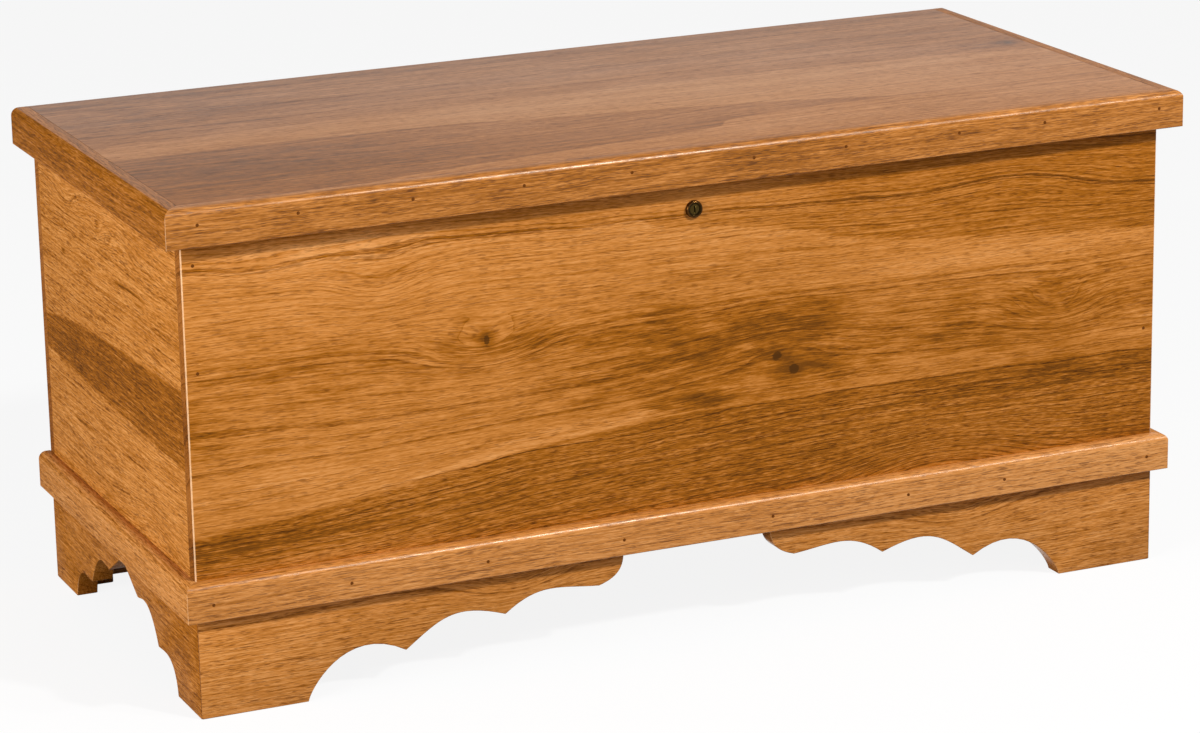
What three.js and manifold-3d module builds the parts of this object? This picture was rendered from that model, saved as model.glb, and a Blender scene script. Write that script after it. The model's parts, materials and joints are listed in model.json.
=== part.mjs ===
// Blanket chest on bracket feet, with a hinged lid and a cam lock.
// Millimetres, +Z up. The front faces -Y and the floor is z = 0.
// The origin lies under the middle of the lid's outline.

import * as THREE from 'three'
import { mergeVertices } from 'three/addons/utils/BufferGeometryUtils.js'
import Module from 'manifold-3d'

const wasm = await Module()
wasm.setup()

// Case: four boards, the front and back ones lapped over the ends of the side ones
const case_width = 1054
const case_depth = 475
const overall_height = 508
const board_thickness = 22
const lap_thickness = 15
const corner_round = 2.5
const glue_gap = 0.1
const cut_overrun = 1

// Base: brackets under the case boards, a moulding nailed over the joint, glue blocks inside
const base_rise = 102
const bracket_lap = 13
const base_moulding_height = 38
const base_moulding_thickness = 13.2
const mitre_gap = 0.2
const corner_block_width = 25

// Rounded upper edge and eased lower edge of the base moulding and of the lid's lips
const edge_round = 9.5
const edge_flat = 0.5
const edge_ease = 2.5

// Front bracket: foot, three scallops and a round end, as shares of its length and of the rise
const front_bracket_length = 446
const front_foot_length = 109.5
const front_curve_shares = [
  [0.245, 0.075, 0.331, 0.732, 0.475, 0.355],
  [0.558, 0.614, 0.589, 0.747, 0.712, 0.552],
  [0.796, 0.826, 0.842, 0.721, 0.939, 0.686],
  [0.987, 0.745, 1.0, 0.843, 1.0, 1.0],
]

// Side skirt: a foot and three scallops up to its middle, as shares of half its length and of the rise
const side_foot_length = 71
const side_curve_shares = [
  [0.328, 0.433, 0.481, 0.316, 0.539, 0.324],
  [0.653, 0.831, 0.768, 0.615, 0.804, 0.642],
  [0.867, 0.725, 0.935, 0.824, 1.0, 0.902],
]

// Back bracket: a plain board with a slanted end
const back_foot_length = 109.5
const back_bracket_length = 190

// Bottom panel, loose in a groove of the four boards
const bottom_panel_thickness = 12
const bottom_panel_rise = 9
const groove_depth = 7
const groove_clearance = 0.2

// Lid: a panel with a lip on the front and both ends
const lid_panel_thickness = 22
const lid_seat_gap = 0.3
const lip_thickness = 18
const lip_height = 38
const lip_clearance = 1
const lid_back_overhang = 8

// Hinges: butt hinges let into the back board's rim and into the lid
const hinge_count = 2
const hinge_length = 76
const hinge_inset = 165
const hinge_reach = 22
const leaf_thickness = 2
const knuckle_radius = 3.5
const knuckle_count = 5
const knuckle_gap = 0.3
const knuckle_relief = 0.5
const pin_radius = 1.5
const pin_clearance = 0.1
const pin_head_radius = 2.6
const pin_head_thickness = 1.5
const mortise_clearance = 0.1

// Countersunk wood screws of the hinges and of the strike
const screw_length = 16
const screw_head_radius = 3.4
const screw_head_depth = 1.7
const screw_shank_radius = 1.7
const screw_tip_length = 4
const screw_clearance = 0.15
const screw_slot_width = 0.8
const screw_slot_depth = 0.7
const screws_per_leaf = 3
const screw_end_margin = 14

// Lock: a rim and barrel through the front board, a turning plug, a cam and a strike on the lid
const lock_below_rim = 42.7
const lock_rim_radius = 8.7
const lock_rim_proud = 4
const lock_rim_round = 1.6
const lock_face_radius = 7
const lock_face_recess = 1.4
const barrel_radius = 7.5
const barrel_clearance = 0.3
const barrel_wall = 2
const plug_clearance = 0.1
const plug_dome = 1
const key_slot_width = 1.8
const key_slot_height = 7
const key_slot_depth = 8
const nut_width = 20
const nut_thickness = 4
const nut_thread_clearance = 0.1
const barrel_past_nut = 3
const cam_length = 28
const cam_width = 15
const cam_thickness = 2.5
const cam_corner = 4
const cam_gap = 0.3
const stub_radius = 3.6
const stub_clearance = 0.1
const cam_screw_radius = 1.8
const cam_screw_clearance = 0.1
const cam_screw_length = 8
const cam_screw_head_radius = 4.4
const cam_screw_head_thickness = 2
const strike_width = 20
const strike_thickness = 2
const strike_foot_length = 26
const strike_lip_length = 5
const strike_clearance = 0.8
const strike_bite_clearance = 0.5
const strike_screw_margin = 6

// Numbers of straight steps in curves
const curve_steps = 16
const round_steps = 8
const pin_sides = 24
const screw_sides = 16
const lock_sides = 40

// Places that follow from the sizes above, measured from the middle of the case
const case_front = -case_depth / 2
const case_back = case_depth / 2
const case_right = case_width / 2
const inside_right = case_right - board_thickness
const inside_back = case_back - board_thickness
const wall_bottom = base_rise + bracket_lap
const lid_underside = overall_height - lid_panel_thickness
const rim = lid_underside - lid_seat_gap
const bottom_panel_under = wall_bottom + bottom_panel_rise
const lip_overhang = lip_clearance + lip_thickness
const lid_back = case_back + lid_back_overhang
const case_shift = (lip_overhang - lid_back_overhang) / 2
const hinge_axis_y = case_back + knuckle_radius + knuckle_gap
const hinge_axis_z = rim + lid_seat_gap / 2
const hinge_spread = case_width - 2 * hinge_inset
const lock_z = rim - lock_below_rim
const nut_face = -inside_back + nut_thickness
const barrel_end = nut_face + barrel_past_nut
const cam_front = barrel_end + cam_gap
const nut_corner_radius = nut_width / Math.sqrt(3)

// Finishes
function finish(colour, roughness, metalness) {
  return () => new THREE.MeshStandardMaterial({ color: colour, roughness, metalness })
}

const case_wood = finish(0xb97a3c, 0.42, 0)
const lid_wood = finish(0xa87a50, 0.38, 0)
const lip_wood = finish(0xb37434, 0.4, 0)
const base_wood = finish(0xbe8046, 0.4, 0)
const bracket_wood = finish(0xb4763a, 0.45, 0)
const cedar = finish(0xb8764c, 0.7, 0)
const block_wood = finish(0x8a6238, 0.75, 0)
const dark_brass = finish(0x3b2f1d, 0.35, 0.9)
const hinge_brass = finish(0x8f6d3a, 0.4, 0.9)
const steel = finish(0x8d8d8a, 0.45, 0.9)

// Joins the corners of a geometry that lie in one place and drops triangles without an area
function weld(geometry) {
  const plain = geometry.clone()
  plain.deleteAttribute('normal')
  plain.deleteAttribute('uv')
  const merged = mergeVertices(plain)
  const index = merged.index.array
  const kept = []
  for (let i = 0; i < index.length; i += 3) {
    const [a, b, c] = [index[i], index[i + 1], index[i + 2]]
    if (a !== b && b !== c && c !== a) kept.push(a, b, c)
  }
  merged.setIndex(kept)
  return merged
}

// Six times the volume that the triangles enclose, below zero if they face inwards
function signedVolume(geometry) {
  const position = geometry.attributes.position
  const index = geometry.index.array
  const corner = [0, 1, 2].map(() => new THREE.Vector3())
  let sum = 0
  for (let i = 0; i < index.length; i += 3) {
    corner.forEach((c, k) => c.fromBufferAttribute(position, index[i + k]))
    sum += corner[0].dot(corner[1].clone().cross(corner[2]))
  }
  return sum
}

function toSolid(geometry) {
  const welded = weld(geometry)
  const triVerts = new Uint32Array(welded.index.array)
  if (signedVolume(welded) < 0) triVerts.reverse()
  const vertProperties = new Float32Array(welded.attributes.position.array)
  return new wasm.Manifold(new wasm.Mesh({ numProp: 3, vertProperties, triVerts }))
}

function fromSolid(solid) {
  const mesh = solid.getMesh()
  const geometry = new THREE.BufferGeometry()
  geometry.setAttribute('position', new THREE.BufferAttribute(mesh.vertProperties, 3))
  geometry.setIndex(new THREE.BufferAttribute(mesh.triVerts, 1))
  geometry.computeVertexNormals()
  return geometry
}

function cut(geometry, tools) {
  const solid = tools.reduce((left, tool) => left.subtract(toSolid(tool)), toSolid(geometry))
  return fromSolid(solid)
}

function join(geometries) {
  return fromSolid(geometries.map(toSolid).reduce((whole, next) => whole.add(next)))
}

function box(low, high) {
  const size = high.map((value, i) => value - low[i])
  const middle = high.map((value, i) => (value + low[i]) / 2)
  return new THREE.BoxGeometry(...size).translate(...middle)
}

function rodAlongX(radius, from, to, sides) {
  const rod = new THREE.CylinderGeometry(radius, radius, to - from, sides)
  return rod.rotateZ(Math.PI / 2).translate((from + to) / 2, 0, 0)
}

function rodAlongY(radius, from, to, sides) {
  const rod = new THREE.CylinderGeometry(radius, radius, to - from, sides)
  return rod.translate(0, (from + to) / 2, 0)
}

function rodAlongZ(radius, from, to, sides) {
  const rod = new THREE.CylinderGeometry(radius, radius, to - from, sides)
  return rod.rotateX(Math.PI / 2).translate(0, 0, (from + to) / 2)
}

// A ring or a solid turned about Y from radius and height pairs that run round its section
function turnedAboutY(section, sides) {
  const points = section.map(([radius, y]) => new THREE.Vector2(radius, y))
  points.push(points[0].clone())
  return fromSolid(toSolid(new THREE.LatheGeometry(points, sides)))
}

function addPart(group, name, geometry, material, x = 0, y = 0, z = 0) {
  const mesh = new THREE.Mesh(geometry, material())
  mesh.name = name
  mesh.position.set(x, y, z)
  group.add(mesh)
}

// Case boards

// Plan of a front or back board: its outer face lies on -Y, its ends are thinned to the lap
function lapBoardPlan() {
  const outer = 0
  const inner = board_thickness
  const plan = new THREE.Shape()
  plan.moveTo(-case_right + corner_round, outer)
  plan.lineTo(case_right - corner_round, outer)
  plan.absarc(case_right - corner_round, corner_round, corner_round, -Math.PI / 2, 0, false)
  plan.lineTo(case_right, lap_thickness)
  plan.lineTo(inside_right, lap_thickness)
  plan.lineTo(inside_right, inner)
  plan.lineTo(-inside_right, inner)
  plan.lineTo(-inside_right, lap_thickness)
  plan.lineTo(-case_right, lap_thickness)
  plan.absarc(-case_right + corner_round, corner_round, corner_round, Math.PI, Math.PI * 1.5, false)
  return plan
}

function extrudeUp(shape, height) {
  const settings = { depth: height, bevelEnabled: false, curveSegments: round_steps }
  return new THREE.ExtrudeGeometry(shape, settings)
}

// Groove for the bottom panel along a board whose inner face lies at inner, in a board's own frame
function bottomGroove(half_length, inner) {
  const low = [-half_length, inner - groove_depth, bottom_panel_rise]
  const high = [half_length, inner + cut_overrun, bottom_panel_rise]
  high[2] += bottom_panel_thickness + 2 * groove_clearance
  return box(low, high)
}

function frontPanel() {
  const board = extrudeUp(lapBoardPlan(), rim - wall_bottom)
  const hole = rodAlongY(
    barrel_radius + barrel_clearance,
    -cut_overrun,
    board_thickness + cut_overrun,
    lock_sides
  )
  hole.translate(0, 0, lock_z - wall_bottom)
  return cut(board, [bottomGroove(inside_right + cut_overrun, board_thickness), hole])
}

function backPanel() {
  const board = extrudeUp(lapBoardPlan(), rim - wall_bottom).rotateZ(Math.PI)
  const groove = bottomGroove(inside_right + cut_overrun, board_thickness).rotateZ(Math.PI)
  const tools = [groove]
  for (const x of hingePlaces()) {
    const mortise = leafMortise(-1)
    mortise.translate(x, hinge_axis_y - case_back, hinge_axis_z - wall_bottom)
    tools.push(mortise)
    for (const hole of leafScrewHoles(-1)) {
      tools.push(hole.translate(x, hinge_axis_y - case_back, hinge_axis_z - wall_bottom))
    }
  }
  return cut(board, tools)
}

// Side board with its inner face on +X, as long as the space between the laps
function sidePanel() {
  const half_length = case_back - lap_thickness - glue_gap
  const board = box([0, -half_length, 0], [board_thickness, half_length, rim - wall_bottom])
  const groove = bottomGroove(half_length + cut_overrun, board_thickness).rotateZ(-Math.PI / 2)
  return cut(board, [groove])
}

function bottomPanel() {
  const half_x = inside_right + groove_depth - groove_clearance
  const half_y = inside_back + groove_depth - groove_clearance
  return box([-half_x, -half_y, 0], [half_x, half_y, bottom_panel_thickness])
}

// Base

// Section of a moulding or lip: thickness along X from the board outwards, height along Y
function edgeSection(thickness, height) {
  const top_round = Math.min(edge_round, thickness - edge_flat)
  const section = new THREE.Shape()
  section.moveTo(0, 0)
  section.lineTo(thickness - edge_ease, 0)
  section.absarc(thickness - edge_ease, edge_ease, edge_ease, -Math.PI / 2, 0, false)
  section.lineTo(thickness, height - top_round)
  section.absarc(thickness - top_round, height - top_round, top_round, 0, Math.PI / 2, false)
  section.lineTo(0, height)
  return section
}

// Turns section axes into the model's: outward is the way that the section's X faces
function standAgainst(geometry, outward) {
  const along = outward.clone().cross(new THREE.Vector3(0, 0, 1))
  const basis = new THREE.Matrix4().makeBasis(outward, new THREE.Vector3(0, 0, 1), along)
  return geometry.applyMatrix4(basis)
}

// A strip of one section whose ends are mitred where start or end is 1 and square where it is 0
function mitredStrip(section, length, start, end, outward) {
  const settings = { depth: length, bevelEnabled: false, curveSegments: round_steps }
  const strip = new THREE.ExtrudeGeometry(section, settings)
  const position = strip.attributes.position
  for (let i = 0; i < position.count; i++) {
    const reach = position.getX(i) - mitre_gap
    const at_start = position.getZ(i) < length / 2
    const along = at_start ? -start * reach : length + end * reach
    position.setZ(i, along)
  }
  return fromSolid(toSolid(standAgainst(strip, outward)))
}

const to_front = new THREE.Vector3(0, -1, 0)
const to_back = new THREE.Vector3(0, 1, 0)
const to_left = new THREE.Vector3(-1, 0, 0)
const to_right = new THREE.Vector3(1, 0, 0)

function frontMoulding(thickness, height, inner_length) {
  return mitredStrip(edgeSection(thickness, height), inner_length, 1, 1, to_front)
}

// Its strip runs from the mitre at the front to the square end at the back
function leftMoulding(thickness, height, inner_length) {
  return mitredStrip(edgeSection(thickness, height), inner_length, 1, 0, to_left)
}

function rightMoulding(thickness, height, inner_length) {
  return mitredStrip(edgeSection(thickness, height), inner_length, 0, 1, to_right)
}

// Adds the curves of a table of shares to an outline that starts at the end of the foot
function addCurves(shape, shares, length) {
  for (const [x1, z1, x2, z2, x3, z3] of shares) {
    const [a, b, c] = [x1 * length, x2 * length, x3 * length]
    shape.bezierCurveTo(a, z1 * base_rise, b, z2 * base_rise, c, z3 * base_rise)
  }
}

function frontBracketOutline() {
  const outline = new THREE.Shape()
  outline.moveTo(0, 0)
  outline.lineTo(front_foot_length, 0)
  addCurves(outline, front_curve_shares, front_bracket_length)
  outline.lineTo(front_bracket_length, wall_bottom - glue_gap)
  outline.lineTo(0, wall_bottom - glue_gap)
  return outline
}

function backBracketOutline() {
  const outline = new THREE.Shape()
  outline.moveTo(0, 0)
  outline.lineTo(back_foot_length, 0)
  outline.lineTo(back_bracket_length, wall_bottom - glue_gap)
  outline.lineTo(0, wall_bottom - glue_gap)
  return outline
}

function sideSkirtOutline() {
  const half = new THREE.Shape()
  half.moveTo(side_foot_length, 0)
  addCurves(half, side_curve_shares, case_depth / 2)
  const points = half.getPoints(curve_steps)
  const mirrored = points.slice(0, -1).reverse()
  const outline = new THREE.Shape()
  outline.moveTo(0, 0)
  points.forEach((point) => outline.lineTo(point.x, point.y))
  mirrored.forEach((point) => outline.lineTo(case_depth - point.x, point.y))
  outline.lineTo(case_depth, 0)
  outline.lineTo(case_depth, wall_bottom - glue_gap)
  outline.lineTo(0, wall_bottom - glue_gap)
  return outline
}

// A board of the base whose outline runs along its outer face, mitred at the ends named in mitres
// outline: X along the board, Y up; the board's thickness is laid along Z, the outer face on top
function mitredBoard(outline, length, mitres) {
  const settings = { depth: board_thickness, bevelEnabled: false, curveSegments: curve_steps }
  const board = new THREE.ExtrudeGeometry(outline, settings)
  const position = board.attributes.position
  for (let i = 0; i < position.count; i++) {
    const x = position.getX(i)
    const inwards = board_thickness - position.getZ(i) + mitre_gap / 2
    if (mitres.start && x < mitre_gap) position.setX(i, x + inwards)
    if (mitres.end && x > length - mitre_gap) position.setX(i, x - inwards)
  }
  return fromSolid(toSolid(board))
}

// Lays a board so that its outline's X runs along the given direction and its outer face looks outward
function faceBoard(board, outward) {
  const along = new THREE.Vector3(0, 0, 1).cross(outward)
  const basis = new THREE.Matrix4().makeBasis(along, new THREE.Vector3(0, 0, 1), outward)
  return board.applyMatrix4(basis).translate(...outward.clone().multiplyScalar(-board_thickness))
}

// Mirrors an outline end for end, so that its foot lies at the far end of its length
function flipOutline(outline, length) {
  const points = outline.getPoints(curve_steps).map((p) => new THREE.Vector2(length - p.x, p.y))
  return new THREE.Shape(points.reverse())
}

function addBrackets(group) {
  const front = frontBracketOutline()
  const front_length = front_bracket_length
  const left_front = mitredBoard(front, front_length, { start: true })
  const right_front = mitredBoard(flipOutline(front, front_length), front_length, { end: true })
  const right_start = case_right - front_length
  addPart(group, 'front_bracket_left', faceBoard(left_front, to_front), bracket_wood, -case_right, case_front)
  addPart(group, 'front_bracket_right', faceBoard(right_front, to_front), bracket_wood, right_start, case_front)

  const skirt = mitredBoard(sideSkirtOutline(), case_depth, { start: true, end: true })
  addPart(group, 'side_skirt_left', faceBoard(skirt.clone(), to_left), bracket_wood, -case_right, case_back)
  addPart(group, 'side_skirt_right', faceBoard(skirt.clone(), to_right), bracket_wood, case_right, case_front)

  const back = backBracketOutline()
  const back_length = back_bracket_length
  const right_back = mitredBoard(back, back_length, { start: true })
  const left_back = mitredBoard(flipOutline(back, back_length), back_length, { end: true })
  const left_start = -case_right + back_length
  addPart(group, 'back_bracket_right', faceBoard(right_back, to_back), bracket_wood, case_right, case_back)
  addPart(group, 'back_bracket_left', faceBoard(left_back, to_back), bracket_wood, left_start, case_back)
}

function addCornerBlocks(group) {
  const height = bottom_panel_under - glue_gap
  const middle_x = inside_right - glue_gap - corner_block_width / 2
  const middle_y = inside_back - glue_gap - corner_block_width / 2
  for (const [end, sign_y] of [['front', -1], ['back', 1]]) {
    for (const [side, sign_x] of [['left', -1], ['right', 1]]) {
      const block = new THREE.BoxGeometry(corner_block_width, corner_block_width, height)
      const name = `corner_block_${end}_${side}`
      addPart(group, name, block, block_wood, sign_x * middle_x, sign_y * middle_y, height / 2)
    }
  }
}

function addBaseMouldings(group) {
  const thickness = base_moulding_thickness - glue_gap
  const front_length = case_width + 2 * glue_gap
  const side_length = case_depth + glue_gap
  const front = frontMoulding(thickness, base_moulding_height, front_length)
  const left = leftMoulding(thickness, base_moulding_height, side_length)
  const right = rightMoulding(thickness, base_moulding_height, side_length)
  const face_x = case_right + glue_gap
  const face_y = case_front - glue_gap
  addPart(group, 'base_moulding_front', front, base_wood, face_x, face_y, base_rise)
  addPart(group, 'base_moulding_left', left, base_wood, -face_x, face_y, base_rise)
  addPart(group, 'base_moulding_right', right, base_wood, face_x, case_back, base_rise)
}

// Lid

function lidPanel() {
  const half_x = case_right + lip_clearance - glue_gap
  const front = case_front - lip_clearance + glue_gap
  const board = box([-half_x, front, 0], [half_x, lid_back, lid_panel_thickness])
  const tools = []
  const axis_height = hinge_axis_z - lid_underside
  for (const x of hingePlaces()) {
    tools.push(leafMortise(1).translate(x, hinge_axis_y, axis_height))
    tools.push(knuckleRelief().translate(x, hinge_axis_y, axis_height))
    for (const hole of leafScrewHoles(1)) tools.push(hole.translate(x, hinge_axis_y, axis_height))
  }
  for (const y of strikeScrewPlaces()) {
    const hole = screwHole().rotateX(Math.PI)
    tools.push(hole.translate(strikeMiddle(), y, 0))
  }
  return cut(board, tools)
}

function addLips(group) {
  const face_x = case_right + lip_clearance
  const face_y = case_front - lip_clearance
  const height = overall_height - lip_height
  const front = frontMoulding(lip_thickness, lip_height, 2 * face_x)
  const left = leftMoulding(lip_thickness, lip_height, lid_back - face_y)
  const right = rightMoulding(lip_thickness, lip_height, lid_back - face_y)
  addPart(group, 'lid_lip_front', front, lip_wood, face_x, face_y, height)
  addPart(group, 'lid_lip_left', left, lip_wood, -face_x, face_y, height)
  addPart(group, 'lid_lip_right', right, lip_wood, face_x, lid_back, height)
}

// Screws

function screw() {
  const section = [
    [0, -screw_length],
    [screw_shank_radius, -screw_length + screw_tip_length],
    [screw_shank_radius, -screw_head_depth],
    [screw_head_radius, 0],
    [0, 0],
  ]
  const body = turnedAboutY(section, screw_sides).rotateX(Math.PI / 2)
  const half = screw_slot_width / 2
  const reach = screw_head_radius + cut_overrun
  return cut(body, [box([-reach, -half, -screw_slot_depth], [reach, half, cut_overrun])])
}

// Hole in the wood under a screw whose head looks up
function screwHole() {
  const radius = screw_shank_radius + screw_clearance
  return rodAlongZ(radius, -screw_length - screw_clearance, cut_overrun, screw_sides)
}

// Countersunk hole in a metal leaf under a screw whose head looks up
function countersink() {
  const shank = screw_shank_radius + screw_clearance
  const head = screw_head_radius + screw_clearance
  const section = [
    [0, -screw_length],
    [shank, -screw_length],
    [shank, -screw_head_depth],
    [head, 0],
    [head, cut_overrun],
    [0, cut_overrun],
  ]
  return turnedAboutY(section, screw_sides).rotateX(Math.PI / 2)
}

// Hinges: every piece is drawn about the hinge's axis, which runs along X
// side is -1 for the leaf under the axis, on the case, and 1 for the leaf over it, on the lid

function hingePlaces() {
  const step = hinge_count > 1 ? hinge_spread / (hinge_count - 1) : 0
  return Array.from({ length: hinge_count }, (_, i) => -hinge_spread / 2 + i * step)
}

function leafScrewPlaces() {
  const spread = hinge_length - 2 * screw_end_margin
  const y = -(hinge_reach + knuckle_radius + knuckle_gap) / 2
  return Array.from({ length: screws_per_leaf }, (_, i) => {
    return [-spread / 2 + (spread * i) / (screws_per_leaf - 1), y]
  })
}

function leafFace(side) {
  return (side * lid_seat_gap) / 2
}

function leafLayer(side, x0, x1, y0, y1) {
  const near = leafFace(side)
  const far = near + side * leaf_thickness
  return box([x0, y0, Math.min(near, far)], [x1, y1, Math.max(near, far)])
}

function leafMortise(side) {
  const half = hinge_length / 2 + mortise_clearance
  const far = leafFace(side) + side * (leaf_thickness + mortise_clearance)
  const near = -side * cut_overrun
  const low = [-half, -hinge_reach - mortise_clearance, Math.min(near, far)]
  return box(low, [half, lid_back_overhang, Math.max(near, far)])
}

function knuckleRelief() {
  const half = hinge_length / 2 + knuckle_gap + pin_head_thickness + knuckle_relief
  const reach = knuckle_radius + knuckle_relief
  return box([-half, -reach, -cut_overrun - reach], [half, lid_back_overhang, reach])
}

function leafScrewHoles(side) {
  return leafScrewPlaces().map(([x, y]) => {
    const hole = screwHole()
    if (side > 0) hole.rotateX(Math.PI)
    return hole.translate(x, y, leafFace(side))
  })
}

function hingeLeaf(side) {
  const half = hinge_length / 2
  const pitch = hinge_length / knuckle_count
  const plate_end = -knuckle_radius - knuckle_gap
  const pieces = [leafLayer(side, -half, half, -hinge_reach, plate_end)]
  for (let i = side < 0 ? 0 : 1; i < knuckle_count; i += 2) {
    const from = -half + i * pitch + knuckle_gap / 2
    const to = from + pitch - knuckle_gap
    pieces.push(leafLayer(side, from, to, plate_end - knuckle_gap, 0))
    pieces.push(rodAlongX(knuckle_radius, from, to, pin_sides))
  }
  const bore = rodAlongX(pin_radius + pin_clearance, -half - cut_overrun, half + cut_overrun, pin_sides)
  const sinks = leafScrewPlaces().map(([x, y]) => {
    const sink = countersink()
    if (side > 0) sink.rotateX(Math.PI)
    return sink.translate(x, y, leafFace(side))
  })
  return cut(join(pieces), [bore, ...sinks])
}

function hingePin() {
  const half = hinge_length / 2
  const head_start = half + knuckle_gap
  const shaft = rodAlongX(pin_radius, -head_start, head_start, pin_sides)
  const heads = [-1, 1].map((sign) => {
    const ends = [sign * head_start, sign * (head_start + pin_head_thickness)]
    return rodAlongX(pin_head_radius, Math.min(...ends), Math.max(...ends), pin_sides)
  })
  return join([shaft, ...heads])
}

function addHingeScrews(group, label, x, side) {
  leafScrewPlaces().forEach(([screw_x, screw_y], i) => {
    const geometry = screw()
    if (side > 0) geometry.rotateX(Math.PI)
    const z = hinge_axis_z + leafFace(side)
    addPart(group, `${label}_screw_${i + 1}`, geometry, hinge_brass, x + screw_x, hinge_axis_y + screw_y, z)
  })
}

function addHinges(case_group, lid_group) {
  hingePlaces().forEach((x, i) => {
    const label = `hinge_${i + 1}`
    const place = [x, hinge_axis_y, hinge_axis_z]
    addPart(case_group, `${label}_case_leaf`, hingeLeaf(-1), hinge_brass, ...place)
    addPart(lid_group, `${label}_lid_leaf`, hingeLeaf(1), hinge_brass, ...place)
    addPart(case_group, `${label}_pin`, hingePin(), steel, ...place)
    addHingeScrews(case_group, `${label}_case`, x, -1)
    addHingeScrews(lid_group, `${label}_lid`, x, 1)
  })
}

// Lock: every piece is drawn about the lock's axis, which runs along Y from the case's front face

function lockBody() {
  const bore = barrel_radius - barrel_wall
  const rear = barrel_end - case_front
  const rim_back = -glue_gap
  const rim_front = -lock_rim_proud
  const floor = rim_front + lock_face_recess
  const section = [
    [bore, rear],
    [barrel_radius, rear],
    [barrel_radius, rim_back],
    [lock_rim_radius, rim_back],
  ]
  for (let i = 0; i <= round_steps; i++) {
    const angle = (i / round_steps) * (Math.PI / 2)
    const radius = lock_rim_radius - lock_rim_round + lock_rim_round * Math.cos(angle)
    section.push([radius, rim_front + lock_rim_round - lock_rim_round * Math.sin(angle)])
  }
  section.push([lock_face_radius, rim_front], [lock_face_radius - lock_face_recess, floor], [bore, floor])
  return turnedAboutY(section, lock_sides)
}

function lockPlug() {
  const radius = barrel_radius - barrel_wall - plug_clearance
  const front = -lock_rim_proud + lock_face_recess
  const rear = cam_front - case_front
  const stub_end = rear + cam_thickness
  const hole = cam_screw_radius + cam_screw_clearance
  const section = [[0, front - plug_dome]]
  for (let i = 1; i <= round_steps; i++) {
    const share = i / round_steps
    section.push([radius * share, front - plug_dome + plug_dome * share * share])
  }
  section.push([radius, rear], [stub_radius, rear], [stub_radius, stub_end], [hole, stub_end])
  section.push([hole, stub_end - cam_screw_length], [0, stub_end - cam_screw_length])
  const half = key_slot_width / 2
  const reach = key_slot_height / 2
  const key_low = [-half, front - plug_dome - cut_overrun, -reach]
  const key_slot = box(key_low, [half, front + key_slot_depth, reach])
  return cut(turnedAboutY(section, lock_sides), [key_slot])
}

// Lays a flat outline, drawn with X to the side and Y up, behind the plane y = 0
function layBehind(outline, thickness) {
  const settings = { depth: thickness, bevelEnabled: false, curveSegments: lock_sides / 4 }
  return fromSolid(toSolid(new THREE.ExtrudeGeometry(outline, settings).rotateX(Math.PI / 2).rotateZ(Math.PI)))
}

function ringHole(radius) {
  const hole = new THREE.Path()
  hole.absarc(0, 0, radius, 0, Math.PI * 2, true)
  return hole
}

function lockNut() {
  const outline = new THREE.Shape()
  for (let i = 0; i < 6; i++) {
    const angle = (i * Math.PI) / 3
    const corner = [nut_corner_radius * Math.cos(angle), nut_corner_radius * Math.sin(angle)]
    if (i === 0) outline.moveTo(...corner)
    else outline.lineTo(...corner)
  }
  outline.holes.push(ringHole(barrel_radius + nut_thread_clearance))
  return layBehind(outline, nut_thickness - glue_gap)
}

// The cam points up: the plug turns it down over the strike's lip
function lockCam() {
  const half = cam_width / 2
  const outline = new THREE.Shape()
  outline.absarc(0, 0, half, Math.PI, Math.PI * 2, false)
  outline.lineTo(half, cam_length - cam_corner)
  outline.absarc(half - cam_corner, cam_length - cam_corner, cam_corner, 0, Math.PI / 2, false)
  outline.absarc(-half + cam_corner, cam_length - cam_corner, cam_corner, Math.PI / 2, Math.PI, false)
  outline.holes.push(ringHole(stub_radius + stub_clearance))
  return layBehind(outline, cam_thickness)
}

function camScrew() {
  const head = cam_screw_head_thickness
  const shank_end = -cam_screw_length + cam_screw_clearance
  const section = [
    [0, shank_end],
    [cam_screw_radius, shank_end],
    [cam_screw_radius, 0],
    [cam_screw_head_radius, 0],
    [cam_screw_head_radius, head / 2],
    [cam_screw_head_radius - head / 2, head],
    [0, head],
  ]
  const half = screw_slot_width / 2
  const reach = cam_screw_head_radius + cut_overrun
  const slot = box([-reach, head - screw_slot_depth, -half], [reach, head + cut_overrun, half])
  return cut(turnedAboutY(section, screw_sides), [slot])
}

function addLock(group) {
  const cam_back = cam_front + cam_thickness
  addPart(group, 'lock_body', lockBody(), dark_brass, 0, case_front, lock_z)
  addPart(group, 'lock_nut', lockNut(), dark_brass, 0, -inside_back + glue_gap, lock_z)
  addPart(group, 'lock_plug', lockPlug(), dark_brass, 0, case_front, lock_z)
  addPart(group, 'lock_cam', lockCam(), steel, 0, cam_front + glue_gap / 2, lock_z)
  addPart(group, 'cam_screw', camScrew(), steel, 0, cam_back + glue_gap, lock_z)
}

// Strike: a bent plate under the lid, whose lip lies under the turned cam

function strikeFront() {
  return cam_front + cam_thickness + strike_clearance
}

function strikeMiddle() {
  return nut_corner_radius + strike_clearance + strike_width / 2
}

function strikeScrewPlaces() {
  const from = strikeFront() + strike_thickness + strike_screw_margin
  const to = strikeFront() + strike_foot_length - strike_screw_margin
  return [from, to]
}

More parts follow.
